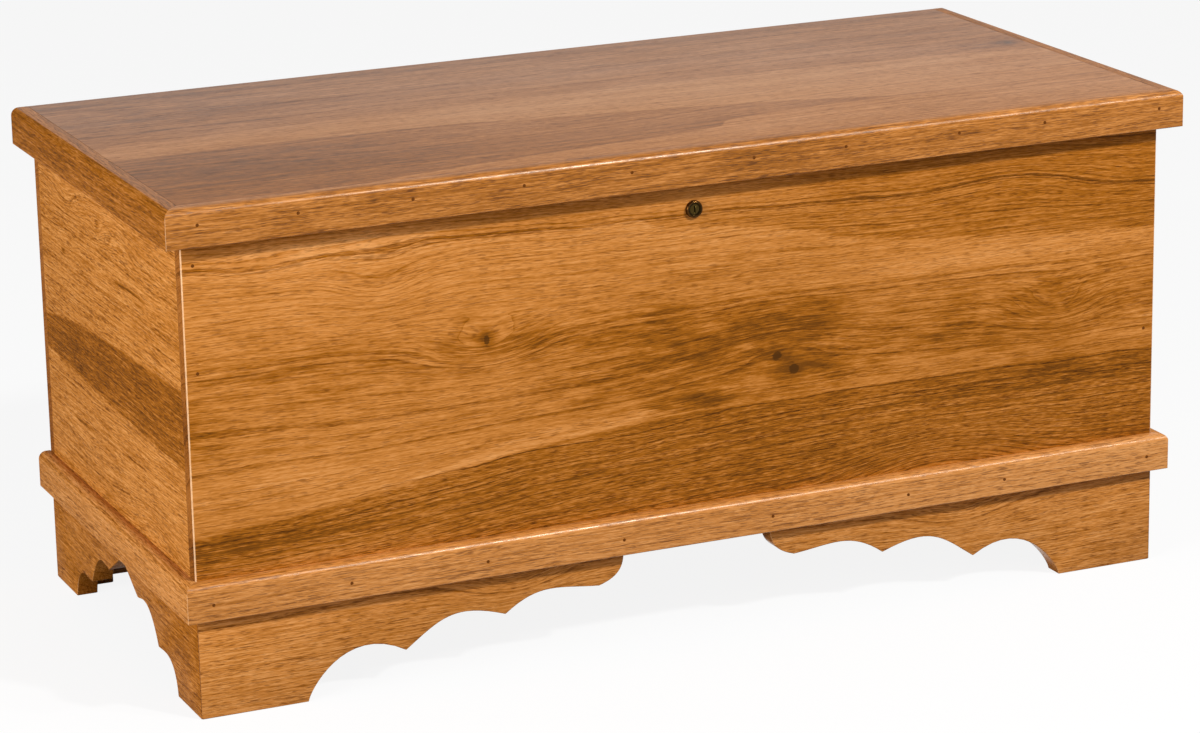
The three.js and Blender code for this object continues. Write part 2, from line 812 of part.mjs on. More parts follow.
// Its section lies in the Y-Z plane with z = 0 on the lid's underside
function strike() {
  const lip_top = lock_z - cam_width / 2 - strike_bite_clearance - lid_underside
  const lip_bottom = lip_top - strike_thickness
  const front = strikeFront()
  const top = -glue_gap
  const section = new THREE.Shape()
  section.moveTo(front - strike_lip_length, lip_bottom)
  section.lineTo(front + strike_thickness, lip_bottom)
  section.lineTo(front + strike_thickness, top - strike_thickness)
  section.lineTo(front + strike_foot_length, top - strike_thickness)
  section.lineTo(front + strike_foot_length, top)
  section.lineTo(front, top)
  section.lineTo(front, lip_top)
  section.lineTo(front - strike_lip_length, lip_top)
  const settings = { depth: strike_width, bevelEnabled: false }
  const bent = new THREE.ExtrudeGeometry(section, settings).translate(0, 0, -strike_width / 2)
  const basis = new THREE.Matrix4().makeBasis(to_back, new THREE.Vector3(0, 0, 1), to_right)
  const sinks = strikeScrewPlaces().map((y) => {
    return countersink().rotateX(Math.PI).translate(0, y, top - strike_thickness)
  })
  return cut(bent.applyMatrix4(basis), sinks)
}

function addStrike(group) {
  const head_z = lid_underside - glue_gap - strike_thickness
  addPart(group, 'strike_plate', strike(), steel, strikeMiddle(), 0, lid_underside)
  strikeScrewPlaces().forEach((y, i) => {
    addPart(group, `strike_screw_${i + 1}`, screw().rotateX(Math.PI), steel, strikeMiddle(), y, head_z)
  })
}

// The whole chest

function buildCase() {
  const group = new THREE.Group()
  const side_face = case_right
  addPart(group, 'front_panel', frontPanel(), case_wood, 0, case_front, wall_bottom)
  addPart(group, 'back_panel', backPanel(), case_wood, 0, case_back, wall_bottom)
  const right = sidePanel().rotateZ(Math.PI)
  addPart(group, 'left_panel', sidePanel(), case_wood, -side_face, 0, wall_bottom)
  addPart(group, 'right_panel', right, case_wood, side_face, 0, wall_bottom)
  addPart(group, 'bottom_panel', bottomPanel(), cedar, 0, 0, bottom_panel_under + groove_clearance)
  addBaseMouldings(group)
  addBrackets(group)
  addCornerBlocks(group)
  addLock(group)
  return group
}

function buildLid() {
  const group = new THREE.Group()
  addPart(group, 'lid_panel', lidPanel(), lid_wood, 0, 0, lid_underside)
  addLips(group)
  addStrike(group)
  return group
}

function buildChest() {
  const chest = new THREE.Group()
  const case_group = buildCase()
  const lid_group = buildLid()
  addHinges(case_group, lid_group)
  chest.add(case_group, lid_group)
  chest.position.set(0, case_shift, 0)
  return chest
}

export default buildChest()
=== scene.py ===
import json
import math
from dataclasses import dataclass, field

import bmesh
import bpy
from mathutils import Matrix, Vector

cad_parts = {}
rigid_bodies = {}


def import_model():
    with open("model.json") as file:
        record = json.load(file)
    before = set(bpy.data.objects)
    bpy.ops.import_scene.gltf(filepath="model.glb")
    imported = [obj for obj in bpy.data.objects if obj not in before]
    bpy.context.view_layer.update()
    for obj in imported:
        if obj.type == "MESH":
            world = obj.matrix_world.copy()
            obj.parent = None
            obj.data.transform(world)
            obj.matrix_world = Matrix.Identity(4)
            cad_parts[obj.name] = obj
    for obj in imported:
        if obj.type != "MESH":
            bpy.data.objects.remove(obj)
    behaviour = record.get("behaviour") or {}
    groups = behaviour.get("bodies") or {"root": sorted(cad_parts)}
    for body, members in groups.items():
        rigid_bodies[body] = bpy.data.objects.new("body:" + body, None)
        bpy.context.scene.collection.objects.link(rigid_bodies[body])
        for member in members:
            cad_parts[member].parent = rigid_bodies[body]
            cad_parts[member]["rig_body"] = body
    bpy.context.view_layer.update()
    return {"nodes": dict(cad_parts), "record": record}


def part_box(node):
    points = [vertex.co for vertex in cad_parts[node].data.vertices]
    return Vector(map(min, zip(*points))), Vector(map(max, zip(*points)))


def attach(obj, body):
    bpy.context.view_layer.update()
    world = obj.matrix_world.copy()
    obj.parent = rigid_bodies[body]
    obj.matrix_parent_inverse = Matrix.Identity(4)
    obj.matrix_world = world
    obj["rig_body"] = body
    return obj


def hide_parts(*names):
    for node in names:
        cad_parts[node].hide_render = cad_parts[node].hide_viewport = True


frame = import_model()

bl_info = {
    "name": "Blanket chest",
    "version": (1, 0, 0),
    "blender": (4, 5, 0),
    "location": "3D View > Sidebar > Chest",
    "description": "Dresses the frame of a blanket chest in hickory, brass and cedar",
    "category": "Add Mesh",
}


def srgb(red, green, blue):
    """A colour as a screen shows it, 0 to 255 a channel, in the linear numbers that shaders use."""
    channels = (red / 255, green / 255, blue / 255)
    return tuple(c / 12.92 if c <= 0.04045 else ((c + 0.055) / 1.055) ** 2.4 for c in channels)


def scaled(shade, *parts):
    """A colour with its channels times parts, or all times one part."""
    parts = parts if len(parts) == 3 else parts * 3
    return tuple(channel * part for channel, part in zip(shade, parts))


def length(name, description, default):
    """A size that a user may change, in metres."""
    return bpy.props.FloatProperty(
        name=name, description=description, default=default, min=0.0, precision=4, unit="LENGTH"
    )


def colour(name, description, default):
    """A colour that a user may change."""
    return bpy.props.FloatVectorProperty(
        name=name,
        description=description,
        default=default,
        size=3,
        min=0.0,
        max=1.0,
        subtype="COLOR",
    )


def lamp_power(name, description, default):
    """The power of a lamp that a user may change, in watts."""
    return bpy.props.FloatProperty(
        name=name, description=description, default=default, min=0.0, unit="POWER"
    )


class ChestSizes(bpy.types.PropertyGroup):
    """Small sizes of the joinery that the frame leaves plain."""

    lip_round: length("Lip round", "Radius of the rounded upper edge of lips and mouldings", 0.0080)
    lip_ease: length("Lip ease", "Radius of the eased lower edge of lips and mouldings", 0.0012)
    case_round: length("Corner round", "Radius of the case's upright corners", 0.0025)
    board_ease: length("Board ease", "Radius of the other edges of the boards", 0.0008)
    mitre_ease: length("Mitre ease", "How much is sanded off the corner of a mitre", 0.0004)
    mitre_gap: length("Mitre gap", "Width of the seam between two mitred strips", 0.00005)
    seam_ease: length("Seam ease", "Radius of the edges that meet at a glued seam", 0.0003)
    bracket_ease: length("Bracket ease", "Radius of the edges of the bracket feet", 0.0009)
    block_ease: length("Block ease", "Radius of the edges of the rough glue blocks", 0.0015)
    nail_radius: length("Nail mark", "Radius of a filled brad hole", 0.0017)
    nail_proud: length("Nail filler", "How far the filler stands out of the wood", 0.00004)
    hole_clearance: length("Hole clearance", "Gap between the lock's barrel and its hole", 0.0003)
    groove_clearance: length("Groove clearance", "Gap round the bottom panel in its groove", 0.0002)
    mortise_clearance: length("Mortise clearance", "Gap round a hinge leaf in its mortise", 0.0001)


class ChestColours(bpy.types.PropertyGroup):
    """Colours of the varnished hickory and of the metal."""

    pale: colour("Pale wood", "The lightest stripes of the wood", srgb(225, 158, 92))
    # A painted highlight: the pale colour that the wood's rounded upright edges get
    wear_and_highlight: colour("Worn edge", "The wood where an edge is rubbed", srgb(250, 206, 160))
    honey: colour("Honey wood", "The common colour of the wood", srgb(198, 128, 59))
    brown: colour("Brown wood", "The darker growth rings", srgb(160, 94, 20))
    heart: colour("Heartwood", "The darkest streaks", srgb(112, 64, 12))
    pore: colour("Pores", "What the dark pores leave of the wood's colour", (0.42, 0.36, 0.28))
    knot: colour("Knots", "The core of a knot", srgb(74, 42, 8))
    end: colour("End grain", "What the end grain leaves of the wood's colour", (0.50, 0.40, 0.22))
    cedar_pale: colour("Pale cedar", "The bottom panel's sapwood", srgb(206, 150, 108))
    cedar_red: colour("Red cedar", "The bottom panel's heartwood", srgb(164, 92, 62))
    filler: colour("Nail filler", "The filler over the brads", srgb(86, 46, 12))
    lock_brass: colour("Dark brass", "The lock's aged brass", srgb(96, 72, 38))
    hinge_brass: colour("Dull brass", "The hinges' brass", srgb(160, 126, 72))
    zinc: colour("Zinc", "The plated steel of the cam, nut and strike", srgb(150, 150, 148))


class ChestStage(bpy.types.PropertyGroup):
    """Light and floor of the plain studio."""

    floor_colour: colour("Floor", "The pale floor", (0.93, 0.93, 0.93))
    floor_bounce: colour("Floor bounce", "What the floor throws back of the light", (0.29,) * 3)
    key_power: lamp_power("Key light", "Power of the key light", 90.0)
    right_power: lamp_power("Right light", "Power of the right light", 30.0)
    side_power: lamp_power("Side light", "Power of the left light", 71.0)
    sky_level: bpy.props.FloatProperty(
        name="Sky", description="Strength of the light from all sides", default=0.23, min=0.0
    )


# Selecting and shaping

SHARP_ANGLE = math.radians(50)
SMOOTH_ANGLE = math.radians(35)
# Points closer than this become one, and faces flatter than this become one
MERGE_REACH = 0.00001
FLAT_ANGLE = math.radians(0.5)
# Two lengths that differ by less than this are the same
SAME_PLACE = 0.0002
# How far up or outwards a face looks, as the part of its normal on that axis
FACING = 0.9
FACING_UP = 0.97
# How far a cutter reaches past the face that it enters by
CUT_PAST = 0.01

FRONT = (0, -1, 0)
LEFT = (-1, 0, 0)
RIGHT = (1, 0, 0)
SIDES = {"left": LEFT, "right": RIGHT}


def deselect_all():
    """Leaves edit mode and selects nothing."""
    active = bpy.context.view_layer.objects.active
    if active and active.mode != "OBJECT":
        bpy.ops.object.mode_set(mode="OBJECT")
    bpy.ops.object.select_all(action="DESELECT")


def activate(piece):
    """Makes piece the only selected object."""
    deselect_all()
    piece.select_set(True)
    bpy.context.view_layer.objects.active = piece


def start_edit(piece, kind, test=None):
    """Enters edit mode and selects the parts of one kind, VERT, EDGE or FACE, that pass test."""
    activate(piece)
    bpy.ops.object.mode_set(mode="EDIT")
    bpy.ops.mesh.select_mode(type=kind)
    bpy.ops.mesh.select_all(action="DESELECT")
    mesh = bmesh.from_edit_mesh(piece.data)
    parts = {"VERT": mesh.verts, "EDGE": mesh.edges, "FACE": mesh.faces}[kind]
    for part in parts:
        part.select_set(test is None or bool(test(part)))
    mesh.select_flush_mode()
    bmesh.update_edit_mesh(piece.data)


def end_edit():
    """Back to object mode."""
    bpy.ops.object.mode_set(mode="OBJECT")


def place_in_mesh():
    """Moves the place, turn and scale of the selected object into its mesh."""
    bpy.ops.object.transform_apply(location=True, rotation=True, scale=True)


def block(name, low, high):
    """A cube primitive that fills the box from low to high, with its place in its mesh."""
    deselect_all()
    bpy.ops.mesh.primitive_cube_add(size=1, location=(Vector(low) + Vector(high)) / 2)
    piece = bpy.context.object
    piece.name = piece.data.name = name
    piece.scale = Vector(high) - Vector(low)
    place_in_mesh()
    return piece


def round_edges(piece, radius, segments, test):
    """Bevels the edges that pass test."""
    start_edit(piece, "EDGE", test)
    bpy.ops.mesh.bevel(offset=radius, segments=segments, profile=0.5, affect="EDGES")
    end_edit()


def near(first, second):
    """True when two lengths are the same to a fifth of a millimetre."""
    return abs(first - second) < SAME_PLACE


def sharp(edge):
    """True for an edge between two faces that meet at a clear angle."""
    return len(edge.link_faces) == 2 and edge.calc_face_angle(0.0) > SHARP_ANGLE


def edge_at(places):
    """A test for edges with both ends at the given places, by axis: 0 for X, 1 for Y, 2 for Z."""
    return lambda edge: all(
        near(vertex.co[axis], place) for vertex in edge.verts for axis, place in places.items()
    )


def vector_of(parts):
    """A vector with the given parts, by axis, and 0 on the other axes."""
    made = Vector((0, 0, 0))
    for axis, part in parts.items():
        made[axis] = part
    return made


def slice_off(piece, point, normal):
    """Cuts piece with a plane and closes the cut: what lies on the normal's side goes."""
    start_edit(piece, "FACE")
    bpy.ops.mesh.bisect(plane_co=point, plane_no=normal, use_fill=True, clear_outer=True)
    end_edit()


def subtract(piece, cutter):
    """Cuts the cutter's shape out of piece and deletes the cutter."""
    activate(piece)
    modifier = piece.modifiers.new("Cut", "BOOLEAN")
    modifier.operation = "DIFFERENCE"
    modifier.solver = "EXACT"
    modifier.object = cutter
    bpy.ops.object.modifier_apply(modifier="Cut")
    bpy.data.objects.remove(cutter, do_unlink=True)


def settle(piece, body, slot, material, *nodes):
    """Finishes a piece: its shading and material, the body it rides on, the nodes it replaces."""
    activate(piece)
    bpy.ops.object.shade_smooth_by_angle(angle=SMOOTH_ANGLE)
    piece.data.materials.clear()
    piece.data.materials.append(material)
    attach(piece, body)
    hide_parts(*nodes)


def finish_top(piece, material):
    """Gives the flat top of a settled piece a material of its own."""
    piece.data.materials.append(material)
    for face in piece.data.polygons:
        if face.normal.z > FACING_UP:
            face.material_index = 1


# Node trees

BUMP_STRENGTH = 0.15
STRIPE_ROUGHNESS = 0.6


class Nodes:
    """A node tree, with a short method for each kind of node used here."""

    def __init__(self, tree):
        self.tree = tree

    def feed(self, socket, value):
        """Links a socket to value, or sets it to a value that is a number, a tuple or a colour."""
        if isinstance(value, bpy.types.NodeSocket):
            self.tree.links.new(value, socket)
        elif hasattr(value, "__len__") and len(value) == 3 and socket.type == "RGBA":
            socket.default_value = (*value, 1.0)
        else:
            socket.default_value = value

    def node(self, kind, **settings):
        """Adds a node and sets its fields."""
        made = self.tree.nodes.new(kind)
        for field_name, value in settings.items():
            setattr(made, field_name, value)
        return made

    def output_of(self, kind, values, **settings):
        """The first output of a new node whose first inputs get the values."""
        new = self.node(kind, **settings)
        for socket, value in zip(new.inputs, values):
            self.feed(socket, value)
        return new.outputs[0]

    def math(self, operation, first, second=0.0, third=0.0, clamp=False):
        values = (first, second, third)
        return self.output_of("ShaderNodeMath", values, operation=operation, use_clamp=clamp)

    def add(self, first, *rest):
        """The sum of several values."""
        for value in rest:
            first = self.math("ADD", first, value)
        return first

    def times(self, first, second):
        return self.math("MULTIPLY", first, second)

    def fade(self, value, start, end):
        """Rises smoothly from 0 at start to 1 at end."""
        values = (value, start, end, 0.0, 1.0)
        return self.output_of("ShaderNodeMapRange", values, interpolation_type="SMOOTHSTEP")

    def signed(self, value, reach):
        """Turns a value from 0 to 1 into one from -reach to reach."""
        return self.math("MULTIPLY_ADD", value, 2 * reach, -reach)

    def vector(self, along, across, through):
        return self.output_of("ShaderNodeCombineXYZ", (along, across, through))

    def split(self, vector):
        """The three parts of a vector."""
        parts = self.node("ShaderNodeSeparateXYZ")
        self.feed(parts.inputs[0], vector)
        return parts.outputs

    def stretch(self, vector, scale, shift=(0.0, 0.0, 0.0)):
        """The vector times scale plus shift."""
        values = (vector, scale, shift)
        return self.output_of("ShaderNodeVectorMath", values, operation="MULTIPLY_ADD")

    def surface(self, name):
        """What the texture coordinates called name, Object or Normal, say about the surface."""
        return self.node("ShaderNodeTexCoord").outputs[name]

    def texture(self, dimensions, socket, value, detail, roughness):
        """Noise of one or three dimensions, looked up at value."""
        made = self.node("ShaderNodeTexNoise", noise_dimensions=dimensions)
        self.feed(made.inputs[socket], value)
        for name, level in (("Scale", 1.0), ("Detail", detail), ("Roughness", roughness)):
            made.inputs[name].default_value = level
        return made.outputs["Fac"]

    def noise(self, vector, scale, detail=2.0, roughness=0.5):
        """Noise in space, with scale turns per metre along each axis of vector."""
        return self.texture("3D", "Vector", self.stretch(vector, scale), detail, roughness)

    def stripe_noise(self, value, detail=2.0):
        """Noise along one line."""
        return self.texture("1D", "W", value, detail, STRIPE_ROUGHNESS)

    def ramp(self, value, stops):
        """Runs through the colours of stops, each a place from 0 to 1 and a colour."""
        stops = list(stops)
        made = self.node("ShaderNodeValToRGB")
        elements = made.color_ramp.elements
        while len(elements) < len(stops):
            elements.new(1.0)
        for element, (place, shade) in zip(elements, stops):
            element.position = place
            element.color = (*shade, 1.0)
        self.feed(made.inputs[0], value)
        return made.outputs[0]

    def mix(self, amount, first, second, way="MIX"):
        """Goes from first to second, or where way is MULTIPLY to first times second."""
        made = self.node("ShaderNodeMix", data_type="RGBA", blend_type=way)
        self.feed(made.inputs[0], amount)
        self.feed(made.inputs[6], first)
        self.feed(made.inputs[7], second)
        return made.outputs[2]

    def curve(self, value, points):
        """A value looked up on a smooth curve through points, both ways from 0 to 1."""
        made = self.node("ShaderNodeFloatCurve")
        curve = made.mapping.curves[0]
        while len(curve.points) < len(points):
            curve.points.new(0.5, 0.5)
        for point, (x, y) in zip(curve.points, points):
            point.location = (x, y)
        made.mapping.update()
        self.feed(made.inputs["Value"], value)
        return made.outputs[0]

    def seen_directly(self):
        """1 where the camera, a mirror or clear glass looks, and 0 for the light itself."""
        path = self.node("ShaderNodeLightPath")
        seen = self.math("MAXIMUM", path.outputs["Is Camera Ray"], path.outputs["Is Glossy Ray"])
        return self.math("MAXIMUM", seen, path.outputs["Is Transmission Ray"])

    def blend(self, amount, first, second):
        """Goes from one shader to another."""
        return self.output_of("ShaderNodeMixShader", (amount, first, second))

    def background(self, strength):
        """White light from all sides."""
        return self.output_of("ShaderNodeBackground", ((1.0, 1.0, 1.0, 1.0), strength))


class Graph(Nodes):
    """The node tree of one new material."""

    def __init__(self, name):
        self.material = bpy.data.materials.new(name)
        self.material.use_nodes = True
        super().__init__(self.material.node_tree)
        self.shader = self.tree.nodes["Principled BSDF"]

    def finish(self, **values):
        """Feeds the shader's sockets, named with underscores for spaces."""
        for name, value in values.items():
            self.feed(self.shader.inputs[name.replace("_", " ")], value)

    def bump(self, height, distance):
        """A relief of distance metres where height goes from 0 to 1."""
        made = self.node("ShaderNodeBump")
        made.inputs["Strength"].default_value = BUMP_STRENGTH
        made.inputs["Distance"].default_value = distance
        self.feed(made.inputs["Height"], height)
        self.finish(Normal=made.outputs[0])


# Wood

# Noise scales along, across and through a board, in turns per metre
SLOW_WARP = (1.6, 7.0, 7.0)
QUICK_WARP = (10.0, 42.0, 42.0)
FIBRES = (24.0, 600.0, 600.0)
FINE_FIBRES = (110.0, 1100.0, 1100.0)
CLOUDS = (22.0, 75.0, 75.0)
BLOTCHES = (5.0, 16.0, 16.0)
SHORT_PORES = (85.0, 1250.0, 1250.0)
LONG_PORES = (62.0, 760.0, 760.0)

# How many metres the slow and the quick waves move a ring, and how the rings lean into the board
WANDER = 0.020
RIPPLE = 0.0045
RING_SLANT = 0.45
# How often the spacing of the rings changes, and by how many rings
SPACING_RATE = 0.35
SPACING_REACH = 1.6
# How thin the dark line of a ring is
RING_LINE_POWER = 5.0
# Bands of colour and rows of pores for each ring
BAND_RATE = 0.8
ROW_RATE = 1.7
# How far the fibres turn with the rings, from 0 to 1
FIBRE_FOLLOW = 0.40

# How much each noise darkens the wood
FINE_SHARE = 0.8
CLOUD_DARK = 0.12
BLOTCH_DARK = 0.15
# How the edges of zones and smudges follow the waves, the fibres and the clouds
EDGE_FOLLOW = 0.35
EDGE_FIBRES = 0.0016
EDGE_CLOUDS = 0.0020
SMOKE_CLOUDS = 1.2
SMOKE_FIBRES = 0.5
# What a zone of strong rings adds to its pores and its fine fibres
ZONE_PORES = 0.5
ZONE_FINE = 0.3
# A knot's halo, in lengths and widths of the knot
HALO_LENGTH = 3.2
HALO_WIDTH = 2.2
# Where the darkness reaches each tone
TONE_STOPS = (0.0, 0.36, 0.68, 1.0)

# How pores crowd in rows and in clouds, and where each kind starts and is full
ROW_CROWD = 0.16
CLOUD_CROWD = 0.10
SHORT_PORE_RANGE = (0.55, 0.67)
LONG_PORE_RANGE = (0.62, 0.74)
SHORT_PORE_DEPTH = 0.85
KNOT_RANGE = (0.28, 0.55)
KNOT_RAGGED = 0.25

# Where a face counts as end grain, and where a rounded upright edge gets a painted highlight,
# patchy with the clouds
END_RANGE = (0.75, 0.95)
END_DEPTH = 0.7
HIGHLIGHT_RANGE = (0.30, 0.46)
HIGHLIGHT_CLOUDS = 0.8
HIGHLIGHT_LEVEL = 0.35
TOP_RANGE = (0.90, 0.995)

# What pores, blotches and end grain add to the roughness, and the depth of the relief
PORE_ROUGH = 0.10
BLOTCH_ROUGH = 0.05
END_ROUGH = 0.5
PORE_RELIEF = -1.0
FIBRE_RELIEF = 0.4
RING_RELIEF = -0.2
WOOD_RELIEF = 0.00025

# The tint of the varnish's reflection
AMBER = (1.0, 0.86, 0.70)
CLEAR = (1.0, 1.0, 1.0)
# The reflection levels of the sides, the lid and the tops of its lips, and the roughness of both
SIDE_SHINE = 0.002
LID_SHINE = 0.55
TOP_SHINE = LID_SHINE * 0.8
LID_ROUGHNESS = 0.50
TOP_ROUGHNESS = 0.52
# How each channel of the sides' and the lid's colours differs from the front's: painted light, a
# warmer tint for the warmer light the sides are seen in and a greyer one for the lid's sheen
SIDE_LIGHT_TINT = (1.03, 1.02, 0.92)
LID_SHEEN_TINT = (1.0, 1.02, 1.20)
# The darkest cedar, as a part of its red
DEEP_CEDAR = 0.6


@dataclass
class Spot:
    """An oval place on a board: its middle, half length and half width, and how much it does."""

    along: float
    across: float
    half_length: float
    half_width: float
    amount: float = 1.0


@dataclass
class Knot:
    """A small knot: its place, half its length and width, how dark its core and its halo are."""

    along: float
    across: float
    half_length: float
    half_width: float
    core: float
    halo: float


@dataclass
class Zone:
    """A darker or paler part of a board on one side of a curve through points (along, across).

    Rings is what it adds to the board's rings.
    """

    edge: list
    above: bool
    amount: float
    softness: float
    rings: float = 0.0


@dataclass
class Figure:
    """How one board was sawn: the axes along, across and through it, and what its face shows.

    Swells push the rings up or down, eyes close them round a place, and smudges are dark or,
    with a negative amount, pale.
    """

    axes: tuple
    seed: tuple
    darkness: float
    ring_width: float = 0.0065
    bands: float = 0.10
    fibres: float = 0.44
    pores: float = 1.0
    rings: float = 0.34
    # How strong the painted highlight on the rounded upright edges is
    edge_highlight: float = 0.40
    swells: list = field(default_factory=list)
    eyes: list = field(default_factory=list)
    smudges: list = field(default_factory=list)
    knots: list = field(default_factory=list)
    zones: list = field(default_factory=list)


@dataclass
class Tones:
    """The colours that one kind of wood runs through, from pale to dark, and its other colours."""

    pale: tuple
    honey: tuple
    brown: tuple
    heart: tuple
    pore: tuple
    knot: tuple
    end: tuple
    # The painted highlight of the rounded upright edges
    wear_and_highlight: tuple


def hickory_tones(level=1.0, light_tint=(1.0, 1.0, 1.0)):
    """The hickory colours, with each channel times level and times its part of the tint, which
    paints in the colour of the light that a board is seen in.
    """
    colours = bpy.context.scene.chest_colours
    wood_colours = (colours.pale, colours.honey, colours.brown, colours.heart)
    shades = [scaled(scaled(shade, level), *light_tint) for shade in wood_colours]
    fixed = (colours.pore, colours.knot, colours.end, colours.wear_and_highlight)
    return Tones(*shades, *(tuple(shade) for shade in fixed))


def cedar_tones():
    """The cedar colours, with a deep red for the dark streaks."""
    colours = bpy.context.scene.chest_colours
    pale, red = tuple(colours.cedar_pale), tuple(colours.cedar_red)
    fixed = (colours.pore, colours.knot, colours.end)
    deep = scaled(red, DEEP_CEDAR)
    return Tones(pale, pale, red, deep, *(tuple(shade) for shade in fixed), pale)


class WoodGraph(Graph):
    """The material of one board, built up in the order of its methods."""

    def __init__(self, name, figure, tones):
        super().__init__(name)
        self.figure = figure
        self.tones = tones
        axes = self.split(self.surface("Object"))
        self.along, self.across, self.through = (axes[axis] for axis in figure.axes)
        self.place = self.seeded(self.across)
        self.lay_rings()
        self.lay_fibres()
        shades = (tones.pale, tones.honey, tones.brown, tones.heart)
        self.shade = self.ramp(self.darkness(), zip(TONE_STOPS, shades))
        self.cut_pores()
        self.set_knots()
        self.finish_edges()
        self.finish(Base_Color=self.shade)

    def seeded(self, across):
        """The place on the board with across as its second part, moved by the figure's seed."""
        place = self.vector(self.along, across, self.through)
        return self.stretch(place, (1.0, 1.0, 1.0), self.figure.seed)

    def oval(self, spot, across=None):
        """1 in the middle of a spot, falling away softly to 0."""
        length, width = spot.half_length, spot.half_width
        across = self.across if across is None else across
        x = self.math("MULTIPLY_ADD", self.along, 1 / length, -spot.along / length)
        y = self.math("MULTIPLY_ADD", across, 1 / width, -spot.across / width)
        square = self.add(self.times(x, x), self.times(y, y))
        return self.math("EXPONENT", self.times(square, -1.0))

    def lay_rings(self):
        """Rings: lines of equal height on a surface with waves, swells and eyes."""
        figure = self.figure
        slow = self.signed(self.noise(self.place, SLOW_WARP), WANDER)
        self.quick = self.signed(self.noise(self.place, QUICK_WARP, detail=3.0), RIPPLE)
        height = self.add(self.across, self.times(self.through, RING_SLANT), slow, self.quick)
        for swell in figure.swells:
            height = self.add(height, self.times(self.oval(swell), swell.amount))
        for eye in figure.eyes:
            aside = self.times(self.math("SUBTRACT", self.across, eye.across), self.oval(eye))
            height = self.add(height, self.times(aside, -eye.amount))
        self.height = height
        stripes = self.stripe_noise(self.times(height, SPACING_RATE / figure.ring_width))
        phase = self.math("MULTIPLY_ADD", height, 1 / figure.ring_width, sum(figure.seed))
        phase = self.add(phase, self.signed(stripes, SPACING_REACH))
        self.bands = self.stripe_noise(self.times(phase, BAND_RATE), detail=3.0)
        self.rows = self.stripe_noise(self.times(phase, ROW_RATE), detail=1.0)
        line = self.math("POWER", self.math("FRACT", phase), RING_LINE_POWER)
        self.ring = self.times(line, self.rows)

    def lay_fibres(self):
        """Fibres and pores run straighter than the rings; clouds and blotches lie over both."""
        swerve = self.times(self.math("SUBTRACT", self.height, self.across), FIBRE_FOLLOW)
        self.flow = self.seeded(self.add(self.across, swerve))
        self.fibres = self.noise(self.flow, FIBRES)
        self.fine = self.noise(self.flow, FINE_FIBRES, detail=1.0)
        self.cloud = self.noise(self.place, CLOUDS, detail=3.0, roughness=0.6)
        self.blotch = self.noise(self.place, BLOTCHES, detail=3.0)

    def zone_mask(self, zone, across):
        """1 inside a zone and 0 outside it."""
        starts = [point[0] for point in zone.edge]
        heights = [point[1] for point in zone.edge]
        start, reach = min(starts), max(starts) - min(starts)
        low, rise = min(heights), max(heights) - min(heights)
        share = self.math("MULTIPLY_ADD", self.along, 1 / reach, -start / reach, clamp=True)
        points = [((x - start) / reach, (y - low) / rise) for x, y in zone.edge]
        edge = self.math("MULTIPLY_ADD", self.curve(share, points), rise, low)
        past = self.math("SUBTRACT", across, edge)
        if not zone.above:
            past = self.times(past, -1.0)
        return self.fade(past, -zone.softness, zone.softness)

    def darkness(self):
        """How dark the wood is: 0 at its palest and 1 at its darkest."""
        figure = self.figure
        dark = self.add(
            self.signed(self.bands, figure.bands),
            self.signed(self.fibres, figure.fibres),
            self.signed(self.fine, figure.fibres * FINE_SHARE),
            self.signed(self.cloud, CLOUD_DARK),
            self.signed(self.blotch, BLOTCH_DARK),
            figure.darkness,
        )
        ring_strength = figure.rings
        self.pore_strength = figure.pores
        ragged = self.add(
            self.signed(self.fibres, EDGE_FIBRES), self.signed(self.cloud, EDGE_CLOUDS)
        )
        drift = self.add(self.across, self.times(self.quick, EDGE_FOLLOW), ragged)
        for zone in figure.zones:
            mask = self.zone_mask(zone, drift)
            dark = self.add(dark, self.times(mask, zone.amount))
            if zone.rings:
                ring_strength = self.add(self.times(mask, zone.rings), ring_strength)
                more_pores = self.times(mask, zone.rings * ZONE_PORES)
                self.pore_strength = self.add(more_pores, self.pore_strength)
                more_fine = self.signed(self.fine, zone.rings * ZONE_FINE)
                dark = self.add(dark, self.times(more_fine, mask))
        dark = self.add(dark, self.times(self.ring, ring_strength))
        uneven = self.add(
            self.signed(self.cloud, SMOKE_CLOUDS), self.signed(self.fibres, SMOKE_FIBRES), 1.0
        )
        for smudge in figure.smudges:
            smoke = self.times(self.oval(smudge, drift), uneven)
            dark = self.add(dark, self.times(smoke, smudge.amount))
        for knot in figure.knots:
            length, width = knot.half_length * HALO_LENGTH, knot.half_width * HALO_WIDTH
            halo = self.oval(Spot(knot.along, knot.across, length, width))
            dark = self.add(dark, self.times(halo, knot.halo))
        return dark

    def cut_pores(self):
        """Pores lie in rows along the rings."""
        crowd = self.add(self.signed(self.rows, ROW_CROWD), self.signed(self.cloud, CLOUD_CROWD))
        short = self.add(self.noise(self.flow, SHORT_PORES, detail=1.0), crowd)
        long = self.add(self.noise(self.flow, LONG_PORES), crowd)
        short, long = self.fade(short, *SHORT_PORE_RANGE), self.fade(long, *LONG_PORE_RANGE)
        self.pores = self.math("MAXIMUM", self.times(short, SHORT_PORE_DEPTH), long)
        depth = self.times(self.pores, self.pore_strength)
        self.shade = self.mix(depth, self.shade, self.tones.pore, "MULTIPLY")

    def set_knots(self):
        """The dark cores of the knots, with ragged edges."""
        for knot in self.figure.knots:
            core = Spot(knot.along, knot.across, knot.half_length, knot.half_width)
            inside = self.add(self.oval(core), self.signed(self.fine, KNOT_RAGGED))
            depth = self.times(self.fade(inside, *KNOT_RANGE), knot.core)
            self.shade = self.mix(depth, self.shade, self.tones.knot)

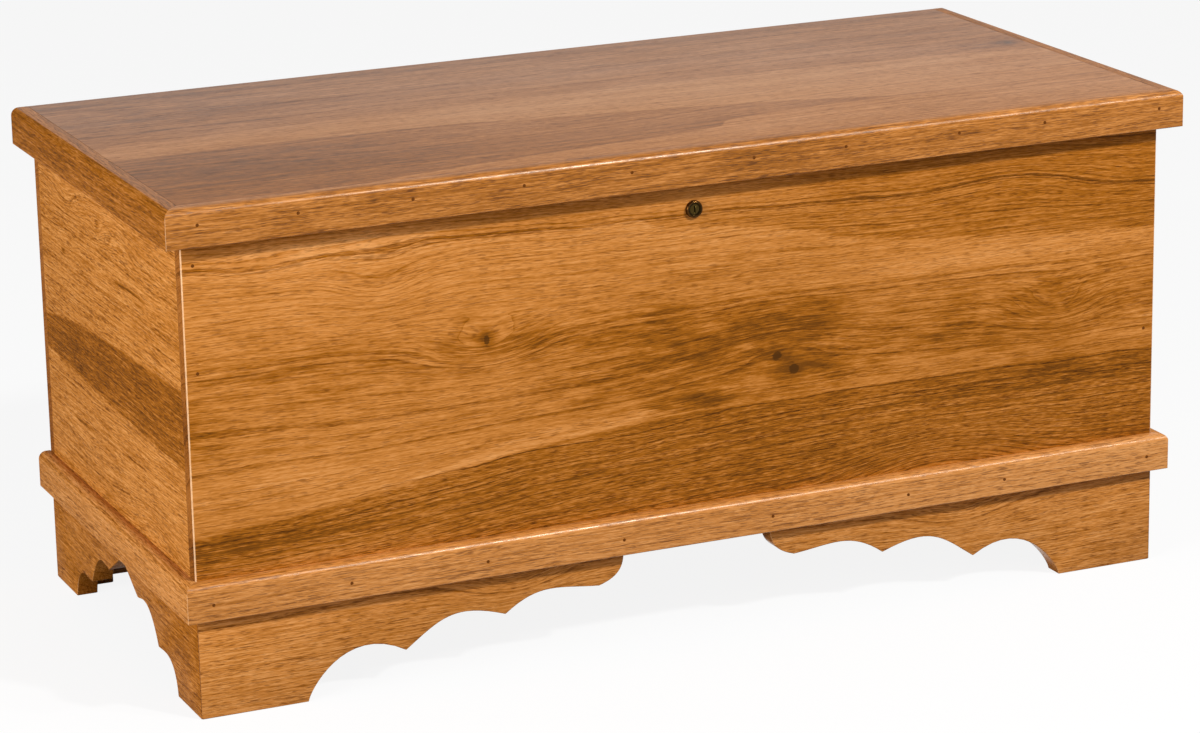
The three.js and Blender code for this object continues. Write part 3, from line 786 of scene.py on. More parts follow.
    def finish_edges(self):
        """End grain drinks more varnish and looks darker, and rounded upright edges get a patchy
        painted highlight.
        """
        self.facing = self.split(self.surface("Normal"))
        across_fibres = self.math("ABSOLUTE", self.facing[self.figure.axes[0]])
        self.end_grain = self.fade(across_fibres, *END_RANGE)
        depth = self.times(self.end_grain, END_DEPTH)
        self.shade = self.mix(depth, self.shade, self.tones.end, "MULTIPLY")
        # Painted highlight: a pale, patchy colour on the rounded upright edges, where the normal
        # leans between X and Y
        slant = self.math("ABSOLUTE", self.times(self.facing[0], self.facing[1]))
        patchy = self.math("MULTIPLY_ADD", self.cloud, HIGHLIGHT_CLOUDS, HIGHLIGHT_LEVEL, clamp=True)
        highlighted = self.times(self.fade(slant, *HIGHLIGHT_RANGE), patchy)
        self.shade = self.mix(self.times(highlighted, self.figure.edge_highlight), self.shade, self.tones.wear_and_highlight)

    def varnish(self, roughness, shine, dull_top, tint):
        """The gloss, and the relief of the pores and fibres under it."""
        gloss = self.add(
            roughness,
            self.times(self.pores, PORE_ROUGH),
            self.signed(self.blotch, BLOTCH_ROUGH),
            self.times(self.end_grain, END_ROUGH),
        )
        if dull_top:
            upward = self.fade(self.facing[2], *TOP_RANGE)
            gloss = self.add(gloss, self.times(upward, dull_top))
        self.finish(Roughness=gloss, Specular_IOR_Level=shine, Specular_Tint=tint)
        relief = self.add(
            self.times(self.pores, PORE_RELIEF),
            self.times(self.fibres, FIBRE_RELIEF),
            self.times(self.ring, RING_RELIEF),
        )
        self.bump(relief, WOOD_RELIEF)


def wood(name, figure, tones, roughness=0.24, shine=0.10, dull_top=0.0, tint=AMBER):
    """Varnished wood. dull_top is the roughness that faces have more where they look up."""
    graph = WoodGraph(name, figure, tones)
    graph.varnish(roughness, shine, dull_top, tint)
    return graph.material


# Metal

METAL_RELIEF = 0.0002
# Cast metal: how far its mottle changes the roughness, where it is dull, plain and worn, and
# how dull
CAST_ROUGH = 0.12
CAST_STOPS = (0.3, 0.55, 0.8)
CAST_DULL = 0.72
# The lock: its mottle's turns per metre, how many metres that moves the rings of the pattern,
# and the pattern's colours from the middle to its edge, as parts of the brass
LOCK_GRAIN = 900.0
LOCK_RAGGED = 0.0006
LOCK_REACH = 0.010
LOCK_STOPS = (0.0, 0.46, 0.54, 0.66, 0.74, 1.0)
LOCK_OLIVE = (0.52, 0.60, 0.50)
# A very dark ring round the plug: painted shade of the recess there
LOCK_RECESS_SHADE = (0.12, 0.12, 0.12)
LOCK_BROWN = (0.60, 0.45, 0.35)
# Where the lock is rubbed bright, and how much, and its roughness with its mottle's part
LOCK_WORN_RANGE = (0.52, 0.75)
LOCK_WORN = 0.6
LOCK_ROUGHNESS = 0.16
LOCK_ROUGH = 0.08


def metal_graph(name, grain):
    """A metal material and the mottle over it, with grain turns per metre."""
    graph = Graph(name)
    mottle = graph.noise(graph.surface("Object"), (grain,) * 3, detail=4.0, roughness=0.6)
    graph.finish(Metallic=1.0)
    graph.bump(mottle, METAL_RELIEF)
    return graph, mottle


def cast_metal(name, shade, roughness, grain, wear):
    """Metal with a mottled surface and slightly brighter worn places."""
    graph, mottle = metal_graph(name, grain)
    bright = tuple(min(1.0, channel * wear) for channel in shade)
    base = graph.ramp(mottle, zip(CAST_STOPS, (scaled(shade, CAST_DULL), shade, bright)))
    gloss = graph.add(roughness, graph.signed(mottle, CAST_ROUGH))
    graph.finish(Base_Color=base, Roughness=gloss)
    return graph.material


def aged_brass(name, shade, centre):
    """The lock's brass: painted shade in the ring round the plug, brown on the rim, rubbed by keys.
    """
    graph, mottle = metal_graph(name, LOCK_GRAIN)
    aside = graph.stretch(graph.surface("Object"), (1.0, 0.0, 1.0), (-centre.x, 0.0, -centre.z))
    distance = graph.node("ShaderNodeVectorMath", operation="LENGTH")
    graph.feed(distance.inputs[0], aside)
    radius = graph.add(distance.outputs["Value"], graph.signed(mottle, LOCK_RAGGED))
    olive, recess_shade, brown = (scaled(shade, *part) for part in (LOCK_OLIVE, LOCK_RECESS_SHADE, LOCK_BROWN))
    stops = zip(LOCK_STOPS, (olive, olive, recess_shade, recess_shade, brown, brown))
    aged = graph.ramp(graph.times(radius, 1 / LOCK_REACH), stops)
    wear_and_highlight = graph.times(graph.fade(mottle, *LOCK_WORN_RANGE), LOCK_WORN)
    gloss = graph.add(LOCK_ROUGHNESS, graph.signed(mottle, LOCK_ROUGH))
    graph.finish(Base_Color=graph.mix(wear_and_highlight, aged, shade), Roughness=gloss)
    return graph.material


# Boards: places along and across them are in the frame's metres

FRONT_FIGURE = Figure(
    axes=(0, 2, 1),
    seed=(3.1, 0.7, 1.9),
    darkness=0.385,
    rings=0.44,
    bands=0.08,
    fibres=0.34,
    pores=0.75,
    # A strong painted highlight on the front board's rounded corners
    edge_highlight=0.85,
    swells=[
        Spot(-0.222, 0.336, 0.060, 0.024, 0.030),
        Spot(-0.330, 0.405, 0.050, 0.030, 0.020),
        Spot(-0.560, 0.165, 0.360, 0.090, 0.040),
        Spot(0.620, 0.470, 0.450, 0.120, 0.045),
        Spot(0.275, 0.124, 0.095, 0.044, -0.062),
        Spot(0.410, 0.290, 0.055, 0.030, 0.036),
        Spot(0.370, 0.430, 0.100, 0.030, -0.022),
        Spot(0.100, 0.290, 0.120, 0.048, -0.024),
        Spot(-0.440, 0.430, 0.070, 0.020, 0.012),
    ],
    eyes=[
        Spot(-0.222, 0.334, 0.090, 0.036, 0.35),
        Spot(0.100, 0.274, 0.050, 0.026, 0.70),
    ],
    smudges=[
        Spot(-0.007, 0.247, 0.060, 0.011, 0.28),
        Spot(0.118, 0.315, 0.060, 0.022, 0.26),
        Spot(0.000, 0.290, 0.180, 0.045, 0.28),
        Spot(0.150, 0.262, 0.050, 0.014, 0.18),
        Spot(-0.177, 0.335, 0.036, 0.014, 0.24),
        Spot(-0.245, 0.330, 0.034, 0.014, 0.16),
        Spot(0.390, 0.290, 0.230, 0.050, 0.22),
        Spot(-0.527, 0.290, 0.036, 0.030, 0.24),
        Spot(-0.480, 0.163, 0.110, 0.018, 0.24),
        Spot(-0.500, 0.128, 0.040, 0.010, 0.30),
        Spot(0.420, 0.222, 0.200, 0.010, 0.20),
        Spot(0.100, 0.160, 0.120, 0.030, 0.12),
        Spot(-0.420, 0.150, 0.110, 0.014, -0.20),
        Spot(0.030, 0.455, 0.110, 0.040, -0.20),
        Spot(-0.415, 0.425, 0.070, 0.020, -0.12),
        Spot(-0.380, 0.450, 0.170, 0.014, -0.50),
        Spot(-0.400, 0.330, 0.140, 0.035, 0.14),
        Spot(-0.050, 0.330, 0.080, 0.030, 0.10),
        Spot(-0.050, 0.440, 0.120, 0.024, -0.10),
        Spot(0.280, 0.356, 0.180, 0.010, -0.14),
    ],
    knots=[
        Knot(0.090, 0.2815, 0.0056, 0.0046, 0.9, 0.34),
        Knot(0.109, 0.2655, 0.0056, 0.0058, 0.9, 0.34),
        Knot(-0.222, 0.3385, 0.0030, 0.0050, 0.8, 0.34),
    ],
    zones=[
        Zone(
            [
                (-0.527, 0.180), (-0.377, 0.196), (-0.277, 0.210), (-0.127, 0.227),
                (-0.027, 0.234), (0.100, 0.236), (0.527, 0.235),
            ],
            False, 0.38, 0.0022, 0.58,
        ),
        Zone(
            [
                (-0.060, 0.440), (-0.027, 0.428), (0.073, 0.416),
                (0.187, 0.392), (0.330, 0.376), (0.527, 0.364),
            ],
            True, 0.20, 0.0022, 0.14,
        ),
        Zone(
            [
                (-0.527, 0.180), (-0.377, 0.196), (-0.277, 0.216), (-0.177, 0.236),
                (-0.067, 0.246), (-0.027, 0.240), (0.100, 0.236), (0.527, 0.235),
            ],
            False, -0.16, 0.003,
        ),
    ],
)

SIDE_FIGURE = Figure(
    axes=(1, 2, 0),
    bands=0.12,
    fibres=0.50,
    seed=(0.4, 5.3, 2.2),
    darkness=0.355,
    rings=0.42,
    swells=[
        Spot(0.140, 0.438, 0.050, 0.018, 0.016),
        Spot(-0.030, 0.432, 0.050, 0.016, -0.014),
        Spot(-0.105, 0.162, 0.080, 0.020, -0.020),
    ],
    eyes=[Spot(0.038, 0.433, 0.018, 0.009, 1.0)],
    smudges=[
        Spot(-0.062, 0.386, 0.036, 0.0018, 0.70),
        Spot(0.113, 0.205, 0.030, 0.0018, 0.50),
        Spot(0.153, 0.377, 0.006, 0.003, 0.60),
        Spot(0.030, 0.432, 0.006, 0.004, 0.50),
    ],
    zones=[
        Zone(
            [(-0.232, 0.325), (-0.050, 0.317), (0.050, 0.313), (0.150, 0.305), (0.243, 0.290)],
            False, 0.36, 0.0015,
        ),
        Zone([(-0.232, 0.245), (0.0, 0.250), (0.243, 0.258)], False, -0.36, 0.0015),
    ],
)

BACK_FIGURE = Figure(
    axes=(0, 2, 1),
    seed=(7.7, 2.1, 4.0),
    darkness=0.46,
    swells=[
        Spot(-0.200, 0.300, 0.120, 0.040, 0.050),
        Spot(0.250, 0.240, 0.100, 0.030, -0.030),
    ],
    zones=[
        Zone([(-0.527, 0.330), (0.0, 0.345), (0.527, 0.338)], True, -0.14, 0.002),
        Zone([(-0.527, 0.215), (0.0, 0.214), (0.527, 0.215)], False, 0.12, 0.002),
    ],
)

LID_FIGURE = Figure(
    axes=(0, 1, 2),
    seed=(1.3, 8.2, 0.6),
    darkness=0.36,
    ring_width=0.010,
    bands=0.22,
    fibres=0.48,
    pores=0.80,
    rings=0.10,
    swells=[Spot(-0.150, -0.120, 0.300, 0.050, 0.050)],
    eyes=[Spot(0.508, 0.047, 0.040, 0.018, 0.9)],
    smudges=[
        Spot(-0.346, 0.151, 0.055, 0.005, 0.26),
        Spot(0.055, 0.151, 0.045, 0.004, 0.24),
        Spot(0.490, 0.050, 0.040, 0.020, 0.20),
        Spot(-0.400, -0.110, 0.200, 0.070, 0.12),
        Spot(-0.400, 0.080, 0.120, 0.008, 0.16),
        Spot(0.020, -0.040, 0.320, 0.180, -0.16),
        Spot(-0.440, 0.180, 0.200, 0.100, 0.22),
        Spot(0.150, 0.200, 0.400, 0.060, 0.08),
    ],
    knots=[Knot(0.508, 0.047, 0.004, 0.006, 0.85, 0.25)],
    zones=[
        Zone(
            [
                (-0.546, -0.034), (-0.200, -0.036), (-0.100, -0.052),
                (0.100, -0.086), (0.274, -0.130),
            ],
            False, 0.32, 0.002,
        ),
        Zone(
            [
                (-0.546, -0.290), (-0.376, -0.241), (-0.146, -0.201),
                (0.054, -0.176), (0.080, -0.151), (0.274, -0.134),
            ],
            False, -0.32, 0.002,
        ),
        Zone(
            [
                (-0.546, -0.020), (-0.400, -0.040), (-0.280, -0.080),
                (-0.180, -0.120), (0.274, -0.140),
            ],
            False, 0.07, 0.003,
        ),
        Zone(
            [(-0.546, 0.019), (-0.150, 0.041), (0.014, 0.041), (0.546, -0.001)],
            True, 0.18, 0.002,
        ),
        Zone([(-0.546, 0.145), (0.546, 0.150)], True, -0.12, 0.002),
        Zone([(-0.546, 0.215), (0.546, 0.222)], True, 0.14, 0.003),
    ],
)

LIP_FIGURE = Figure(
    axes=(0, 2, 1),
    seed=(2.6, 3.3, 6.1),
    darkness=0.49,
    ring_width=0.005,
    smudges=[Spot(0.000, 0.488, 0.260, 0.060, 0.14)],
)

SIDE_LIP_FIGURE = Figure(axes=(1, 2, 0), seed=(4.6, 1.3, 3.1), darkness=0.66, ring_width=0.005)

BASE_FIGURE = Figure(
    axes=(0, 2, 1),
    seed=(6.6, 0.3, 2.4),
    darkness=0.34,
    ring_width=0.006,
    smudges=[Spot(0.480, 0.120, 0.260, 0.060, -0.16)],
)

SIDE_BASE_FIGURE = Figure(axes=(1, 2, 0), seed=(0.6, 9.3, 5.4), darkness=0.26, ring_width=0.006)

BRACKET_FIGURE = Figure(
    axes=(0, 2, 1),
    seed=(5.1, 4.4, 0.2),
    darkness=0.34,
    swells=[
        Spot(-0.200, 0.095, 0.050, 0.022, 0.030),
        Spot(0.300, 0.090, 0.060, 0.025, 0.025),
    ],
)

SKIRT_FIGURE = Figure(
    axes=(1, 2, 0),
    seed=(8.1, 2.4, 7.2),
    darkness=0.48,
    smudges=[Spot(-0.230, 0.050, 0.070, 0.080, 0.18)],
)

CEDAR_FIGURE = Figure(
    axes=(0, 1, 2),
    seed=(9.1, 0.4, 3.2),
    darkness=0.40,
    ring_width=0.012,
    pores=0.1,
    knots=[
        Knot(-0.250, 0.080, 0.008, 0.007, 0.7, 0.4),
        Knot(0.180, -0.090, 0.010, 0.008, 0.7, 0.4),
    ],
)

BLOCK_FIGURE = Figure(axes=(2, 0, 1), seed=(1.1, 1.4, 9.2), darkness=0.62, ring_width=0.004)


# Pieces

# Bevel segments: fine ones on what the light rolls over, coarse ones on what is only eased
ROUND_STEPS = 12
CORNER_STEPS = 6
LOWER_STEPS = 5
EASE_STEPS = 3
SEAM_STEPS = 2
# A rounded edge takes up no more of its strip's width than this
WIDEST_ROUND = 0.97
# How far each strip ends before a mitre, as a part of the seam's width
SEAM_PART = 0.7
HOLE_SIDES = 64
DRILL_LENGTH = 0.1
KNUCKLE_ROOM = 0.0005


def hinge_parts(kind):
    """The names of one kind of part of both hinges."""
    return [f"hinge_{number}_{kind}" for number in (1, 2)]


def cut_groove(piece, across, inner):
    """The groove for the bottom in a board whose inner face is at inner along the axis across."""
    clearance = bpy.context.scene.chest_sizes.groove_clearance
    low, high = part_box("bottom_panel")
    tongue = min((low[across], high[across]), key=lambda edge: abs(edge - inner))
    depth = tongue + (clearance if tongue > inner else -clearance)
    room = Vector((clearance,) * 3)
    cut_low, cut_high = low - room, high + room
    cut_low[across], cut_high[across] = sorted((depth, 2 * inner - tongue))
    subtract(piece, block("Groove cutter", cut_low, cut_high))


def cut_mortise(piece, leaf, face):
    """Lets a hinge leaf into piece, whose face that the leaf lies in is at height face."""
    clearance = bpy.context.scene.chest_sizes.mortise_clearance
    low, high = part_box(leaf)
    vertices = bpy.data.objects[leaf].data.vertices
    plate = [vertex.co.z for vertex in vertices if near(vertex.co.y, low.y)]
    bottom, top = min(plate), max(plate)
    if (bottom + top) / 2 < face:
        bottom, top = bottom - clearance, face + CUT_PAST
    else:
        bottom, top = face - CUT_PAST, top + clearance
    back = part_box("lid_panel")[1].y + CUT_PAST
    cut_low = (low.x - clearance, low.y - clearance, bottom)
    subtract(piece, block("Mortise cutter", cut_low, (high.x + clearance, back, top)))


class CHEST_OT_case_boards(bpy.types.Operator):
    """Front, back and side boards, the front and back ones lapped over the ends of the others"""

    bl_idname = "chest.case_boards"
    bl_label = "Case boards"

    def lapped_board(self, name, node, outward):
        """A board with rounded corners, thinned at both ends. outward is -1 at the front."""
        low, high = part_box(node)
        side_low, side_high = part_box("right_panel")
        inside = side_low.x
        outer, inner, lap = low.y, high.y, side_low.y
        if outward > 0:
            outer, inner, lap = high.y, low.y, side_high.y
        low_y, high_y = sorted((outer, lap))
        piece = block(name, (low.x, low_y, low.z), (high.x, high_y, high.z))

        def upright_corner(edge):
            first, second = (vertex.co for vertex in edge.verts)
            return near(first.y, outer) and near(second.y, outer) and near(first.x, second.x)

        def thick_part(face):
            middle = face.calc_center_median()
            return near(middle.y, lap) and abs(middle.x) < inside and abs(face.normal.y) > FACING

        case_round = bpy.context.scene.chest_sizes.case_round
        round_edges(piece, case_round, CORNER_STEPS, upright_corner)
        for x in (-inside, inside):
            start_edit(piece, "FACE")
            bpy.ops.mesh.bisect(plane_co=(x, 0, 0), plane_no=(1, 0, 0))
            end_edit()
        start_edit(piece, "FACE", thick_part)
        thicken = {"value": (0, inner - lap, 0)}
        bpy.ops.mesh.extrude_region_move(TRANSFORM_OT_translate=thicken)
        end_edit()
        return piece

    def ease_rim(self, piece):
        """Eases the edges of the board's top."""
        at_top = edge_at({2: max(vertex.co.z for vertex in piece.data.vertices)})
        ease = bpy.context.scene.chest_sizes.board_ease
        round_edges(piece, ease, EASE_STEPS, lambda edge: sharp(edge) and at_top(edge))

    def drill_lock_hole(self, piece):
        """The round hole for the rear part of the lock's body."""
        low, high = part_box("lock_body")
        centre = (low + high) / 2
        vertices = bpy.data.objects["lock_body"].data.vertices
        rear = [vertex.co for vertex in vertices if near(vertex.co.y, high.y)]
        barrel = max(math.hypot(place.x - centre.x, place.z - centre.z) for place in rear)
        clearance = bpy.context.scene.chest_sizes.hole_clearance
        deselect_all()
        bpy.ops.mesh.primitive_cylinder_add(
            vertices=HOLE_SIDES,
            radius=barrel + clearance,
            depth=DRILL_LENGTH,
            location=(centre.x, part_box("lock_nut")[0].y, centre.z),
            rotation=(math.pi / 2, 0, 0),
        )
        subtract(piece, bpy.context.object)

    def execute(self, context):
        tones = hickory_tones()
        front = self.lapped_board("front_board", "front_panel", -1)
        self.ease_rim(front)
        self.drill_lock_hole(front)
        cut_groove(front, 1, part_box("front_panel")[1].y)
        front_wood = wood("Hickory front", FRONT_FIGURE, tones, shine=0.08)
        settle(front, "case", "case_wood", front_wood, "front_panel")
        back = self.lapped_board("back_board", "back_panel", 1)
        self.ease_rim(back)
        low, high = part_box("back_panel")
        cut_groove(back, 1, low.y)
        for leaf in hinge_parts("case_leaf"):
            cut_mortise(back, leaf, high.z)
        back_wood = wood("Hickory back", BACK_FIGURE, tones)
        settle(back, "case", "case_wood", back_wood, "back_panel")
        # The sides' tones carry a warmer tint: painted light, standing in for the warmer light they
        # are seen in
        side_tones = hickory_tones(light_tint=SIDE_LIGHT_TINT)
        side_wood = wood("Hickory side", SIDE_FIGURE, side_tones, shine=SIDE_SHINE)
        for side in SIDES:
            low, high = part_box(f"{side}_panel")
            board = block(f"{side}_board", low, high)
            self.ease_rim(board)
            cut_groove(board, 0, high.x if side == "left" else low.x)
            settle(board, "case", "case_wood", side_wood, f"{side}_panel")
        return {"FINISHED"}


class CHEST_OT_bottom(bpy.types.Operator):
    """The cedar bottom, whose edges lie in the boards' grooves"""

    bl_idname = "chest.bottom"
    bl_label = "Bottom panel"

    def execute(self, context):
        piece = block("cedar_bottom", *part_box("bottom_panel"))
        round_edges(piece, context.scene.chest_sizes.board_ease, SEAM_STEPS, sharp)
        cedar = wood("Cedar", CEDAR_FIGURE, cedar_tones(), roughness=0.6)
        settle(piece, "case", "cedar", cedar, "bottom_panel")
        return {"FINISHED"}


def mitre_corners(node):
    """The low and high corners of the frame that the strips of node's kind make together."""
    family = node.rsplit("_", 1)[0]
    boxes = [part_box(f"{family}_{side}") for side in ("front", "left", "right")]
    low = Vector([min(box[0][axis] for box in boxes) for axis in range(3)])
    high = Vector([max(box[1][axis] for box in boxes) for axis in range(3)])
    return low, high


def moulded_strip(name, node, outward, mitred_end):
    """A strip with a rounded upper and an eased lower outer edge.

    outward is the strip's outer side. Its low end along X or Y is mitred, and its high end only
    where mitred_end is true.
    """
    sizes = bpy.context.scene.chest_sizes
    low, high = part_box(node)
    across = 0 if outward[0] else 1
    along = 1 - across
    outer, inner = low[across], high[across]
    if outward[across] > 0:
        outer, inner = inner, outer
    corner_low, corner_high = mitre_corners(node)
    ends = [(-1, corner_low[along])]
    low[along] = corner_low[along] + sizes.mitre_gap * SEAM_PART
    if mitred_end:
        ends.append((1, corner_high[along]))
        high[along] = corner_high[along] - sizes.mitre_gap * SEAM_PART
    piece = block(name, low, high)

    widest = abs(outer - inner) * WIDEST_ROUND
    upper_outer = edge_at({across: outer, 2: high.z})
    round_edges(piece, min(sizes.lip_round, widest), ROUND_STEPS, upper_outer)
    round_edges(piece, sizes.lip_ease, LOWER_STEPS, edge_at({across: outer, 2: low.z}))
    round_edges(piece, sizes.seam_ease, SEAM_STEPS, edge_at({across: inner, 2: high.z}))
    round_edges(piece, sizes.board_ease, EASE_STEPS, edge_at({across: inner, 2: low.z}))
    for sign, corner_end in ends:
        strip_end = low[along] if sign < 0 else high[along]
        slice_off(
            piece,
            vector_of({along: strip_end, across: outer, 2: low.z}),
            vector_of({along: sign, across: -outward[across]}).normalized(),
        )
        tip = vector_of({along: sign, across: outward[across]}).normalized()
        corner = vector_of({along: corner_end, across: outer, 2: low.z})
        slice_off(piece, corner - tip * sizes.mitre_ease, tip)
    return piece


class CHEST_OT_base_mouldings(bpy.types.Operator):
    """The moulding that hides the joint between the case and the feet"""

    bl_idname = "chest.base_mouldings"
    bl_label = "Base mouldings"

    def execute(self, context):
        tones = hickory_tones()
        front_wood = wood(
            "Hickory front moulding", BASE_FIGURE, tones, shine=0.40, dull_top=0.20
        )
        side_wood = wood("Hickory side moulding", SIDE_BASE_FIGURE, tones, shine=SIDE_SHINE)
        front = moulded_strip("moulding_front", "base_moulding_front", FRONT, True)
        settle(front, "case", "base_wood", front_wood, "base_moulding_front")
        for side, outward in SIDES.items():
            node = f"base_moulding_{side}"
            piece = moulded_strip(f"moulding_{side}", node, outward, False)
            settle(piece, "case", "base_wood", side_wood, node)
        return {"FINISHED"}


def merged_copy(name, node):
    """A copy of a frame node with its loose triangles joined into whole faces."""
    deselect_all()
    piece = bpy.data.objects.new(name, frame["nodes"][node].data.copy())
    piece.data.name = name
    bpy.context.scene.collection.objects.link(piece)
    start_edit(piece, "VERT")
    bpy.ops.mesh.remove_doubles(threshold=MERGE_REACH)
    bpy.ops.mesh.dissolve_limited(angle_limit=FLAT_ANGLE)
    end_edit()
    return piece


class CHEST_OT_feet(bpy.types.Operator):
    """Scalloped front brackets and side skirts, plain back brackets and the blocks inside"""

    bl_idname = "chest.feet"
    bl_label = "Feet"

    def execute(self, context):
        sizes = context.scene.chest_sizes
        bracket_wood = wood("Hickory brackets", BRACKET_FIGURE, hickory_tones())
        # The skirts' tones carry a warmer tint: painted light, standing in for the warmer light the
        # sides are seen in
        side_tones = hickory_tones(light_tint=SIDE_LIGHT_TINT)
        skirt_wood = wood("Hickory skirts", SKIRT_FIGURE, side_tones, shine=SIDE_SHINE)
        for family, material in (
            ("front_bracket", bracket_wood),
            ("back_bracket", bracket_wood),
            ("side_skirt", skirt_wood),
        ):
            for side in SIDES:
                name = family.replace("bracket", "foot").replace("skirt", "foot")
                piece = merged_copy(f"{name}_{side}", f"{family}_{side}")
                round_edges(piece, sizes.bracket_ease, EASE_STEPS, sharp)
                settle(piece, "case", "bracket_wood", material, f"{family}_{side}")
        block_tones = hickory_tones(level=0.8)
        rough = wood("Rough block wood", BLOCK_FIGURE, block_tones, roughness=0.7)
        for node in [name for name in frame["nodes"] if name.startswith("corner_block")]:
            piece = block(node.replace("corner", "glue"), *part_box(node))
            round_edges(piece, sizes.block_ease, SEAM_STEPS, sharp)
            settle(piece, "case", "block_wood", rough, node)
        return {"FINISHED"}


class CHEST_OT_lid(bpy.types.Operator):
    """The lid's glued-up panel and its three lips"""

    bl_idname = "chest.lid"
    bl_label = "Lid"

    def cut_knuckle_space(self, panel, leaf):
        """Room for the hinge's knuckles and pin heads in the lid's back edge."""
        pin_low, pin_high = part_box(leaf.replace("lid_leaf", "pin"))
        pin = (pin_low + pin_high) / 2
        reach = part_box(leaf)[1].y - pin.y + KNUCKLE_ROOM
        lid_low, lid_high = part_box("lid_panel")
        cut_low = (pin_low.x - KNUCKLE_ROOM, pin.y - reach, lid_low.z - CUT_PAST)
        cut_high = (pin_high.x + KNUCKLE_ROOM, lid_high.y + CUT_PAST, pin.z + reach)
        subtract(panel, block("Knuckle cutter", cut_low, cut_high))

    def lay_panel(self, sizes):
        """The panel between the lips, with room for the hinges."""
        low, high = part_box("lid_panel")
        panel = block("lid_board", low, high)
        round_edges(panel, sizes.seam_ease, SEAM_STEPS, edge_at({2: high.z}))
        for leaf in hinge_parts("lid_leaf"):
            self.cut_knuckle_space(panel, leaf)
            cut_mortise(panel, leaf, low.z)
        # The lid's tones are darker and greyer: painted shade that makes up for the stronger light
        # on its top, and a painted grey sheen
        tones = hickory_tones(level=0.74, light_tint=LID_SHEEN_TINT)
        finish = wood("Hickory lid", LID_FIGURE, tones, LID_ROUGHNESS, LID_SHINE, tint=CLEAR)
        settle(panel, "lid", "lid_wood", finish, "lid_panel")

    def lay_lip(self, side, outward, material, top):
        """One lip, with the material top on its flat top."""
        node = f"lid_lip_{side}"
        piece = moulded_strip(f"lip_{side}", node, outward, side == "front")
        settle(piece, "lid", "lip_wood", material, node)
        finish_top(piece, top)

    def execute(self, context):
        self.lay_panel(context.scene.chest_sizes)
        tones = hickory_tones()
        # The right lip and the flat tops of the lips take the lid's darker, greyer tones: painted
        # shade and painted sheen
        far_tones = hickory_tones(level=0.85, light_tint=LID_SHEEN_TINT)
        top_tones = hickory_tones(level=0.95, light_tint=LID_SHEEN_TINT)
        top_finish = (top_tones, TOP_ROUGHNESS, TOP_SHINE)
        front = wood("Hickory front lip", LIP_FIGURE, tones, shine=0.36, dull_top=0.30)
        self.lay_lip("front", FRONT, front, wood("Hickory front lip top", LIP_FIGURE, *top_finish))
        side_top = wood("Hickory side lip top", SIDE_LIP_FIGURE, *top_finish)
        left = wood("Hickory left lip", SIDE_LIP_FIGURE, tones, shine=SIDE_SHINE)
        self.lay_lip("left", LEFT, left, side_top)
        far_finish = (far_tones, LID_ROUGHNESS, LID_SHINE)
        right = wood("Hickory right lip", SIDE_LIP_FIGURE, *far_finish, tint=CLEAR)
        self.lay_lip("right", RIGHT, right, side_top)
        return {"FINISHED"}


class CHEST_OT_hardware(bpy.types.Operator):
    """Lock, cam, strike, hinges and screws"""

    bl_idname = "chest.hardware"
    bl_label = "Lock and hinges"

    def execute(self, context):
        colours = context.scene.chest_colours
        lock_low, lock_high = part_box("lock_body")
        lock_centre = (lock_low + lock_high) / 2
        metals = {
            "dark_brass": aged_brass("Aged brass", tuple(colours.lock_brass), lock_centre),
            "hinge_brass": cast_metal(
                "Dull brass", tuple(colours.hinge_brass), roughness=0.38, grain=500.0, wear=1.3
            ),
            "steel": cast_metal(
                "Zinc plate", tuple(colours.zinc), roughness=0.34, grain=600.0, wear=1.2
            ),
        }
        slots = {part["node"]: part["material_slot"] for part in frame["record"]["subparts"]}
        for node, source in frame["nodes"].items():
            slot = slots[node]
            if slot in metals:
                piece = merged_copy(f"{node}_dressed", node)
                settle(piece, source["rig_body"], slot, metals[slot], node)
        return {"FINISHED"}


# Filled brad holes, as distances from the left or front end of the strip that they are in
LIP_NAILS = (0.031, 0.130, 0.245, 0.359, 0.472, 0.603, 0.704, 0.831, 0.929, 1.063)
BASE_NAILS = (0.026, 0.166, 0.308, 0.454, 0.618, 0.772, 0.884, 1.054)
SIDE_NAILS = (0.025, 0.113, 0.235, 0.355, 0.468)
# Those at the ends of the front board: -1 for the left end or 1 for the right, and the height
CORNER_NAILS = ((-1, 0.344), (-1, 0.4485), (1, 0.255))
CORNER_NAIL_INSET = 0.012
LIP_NAIL_DROP = 0.0163
BASE_NAIL_RISE = 0.0165
NAIL_SIDES = 12
NAIL_LENGTH = 0.001
# A mark's sloping rim, as a part of its radius, and its rise, as a part of how far it stands out
NAIL_RIM = 0.35
NAIL_RISE = 0.5
# The filler's speckles for each metre, and how much lighter they are
FILLER_GRAIN = 1500.0
FILLER_LIGHT = 2.2


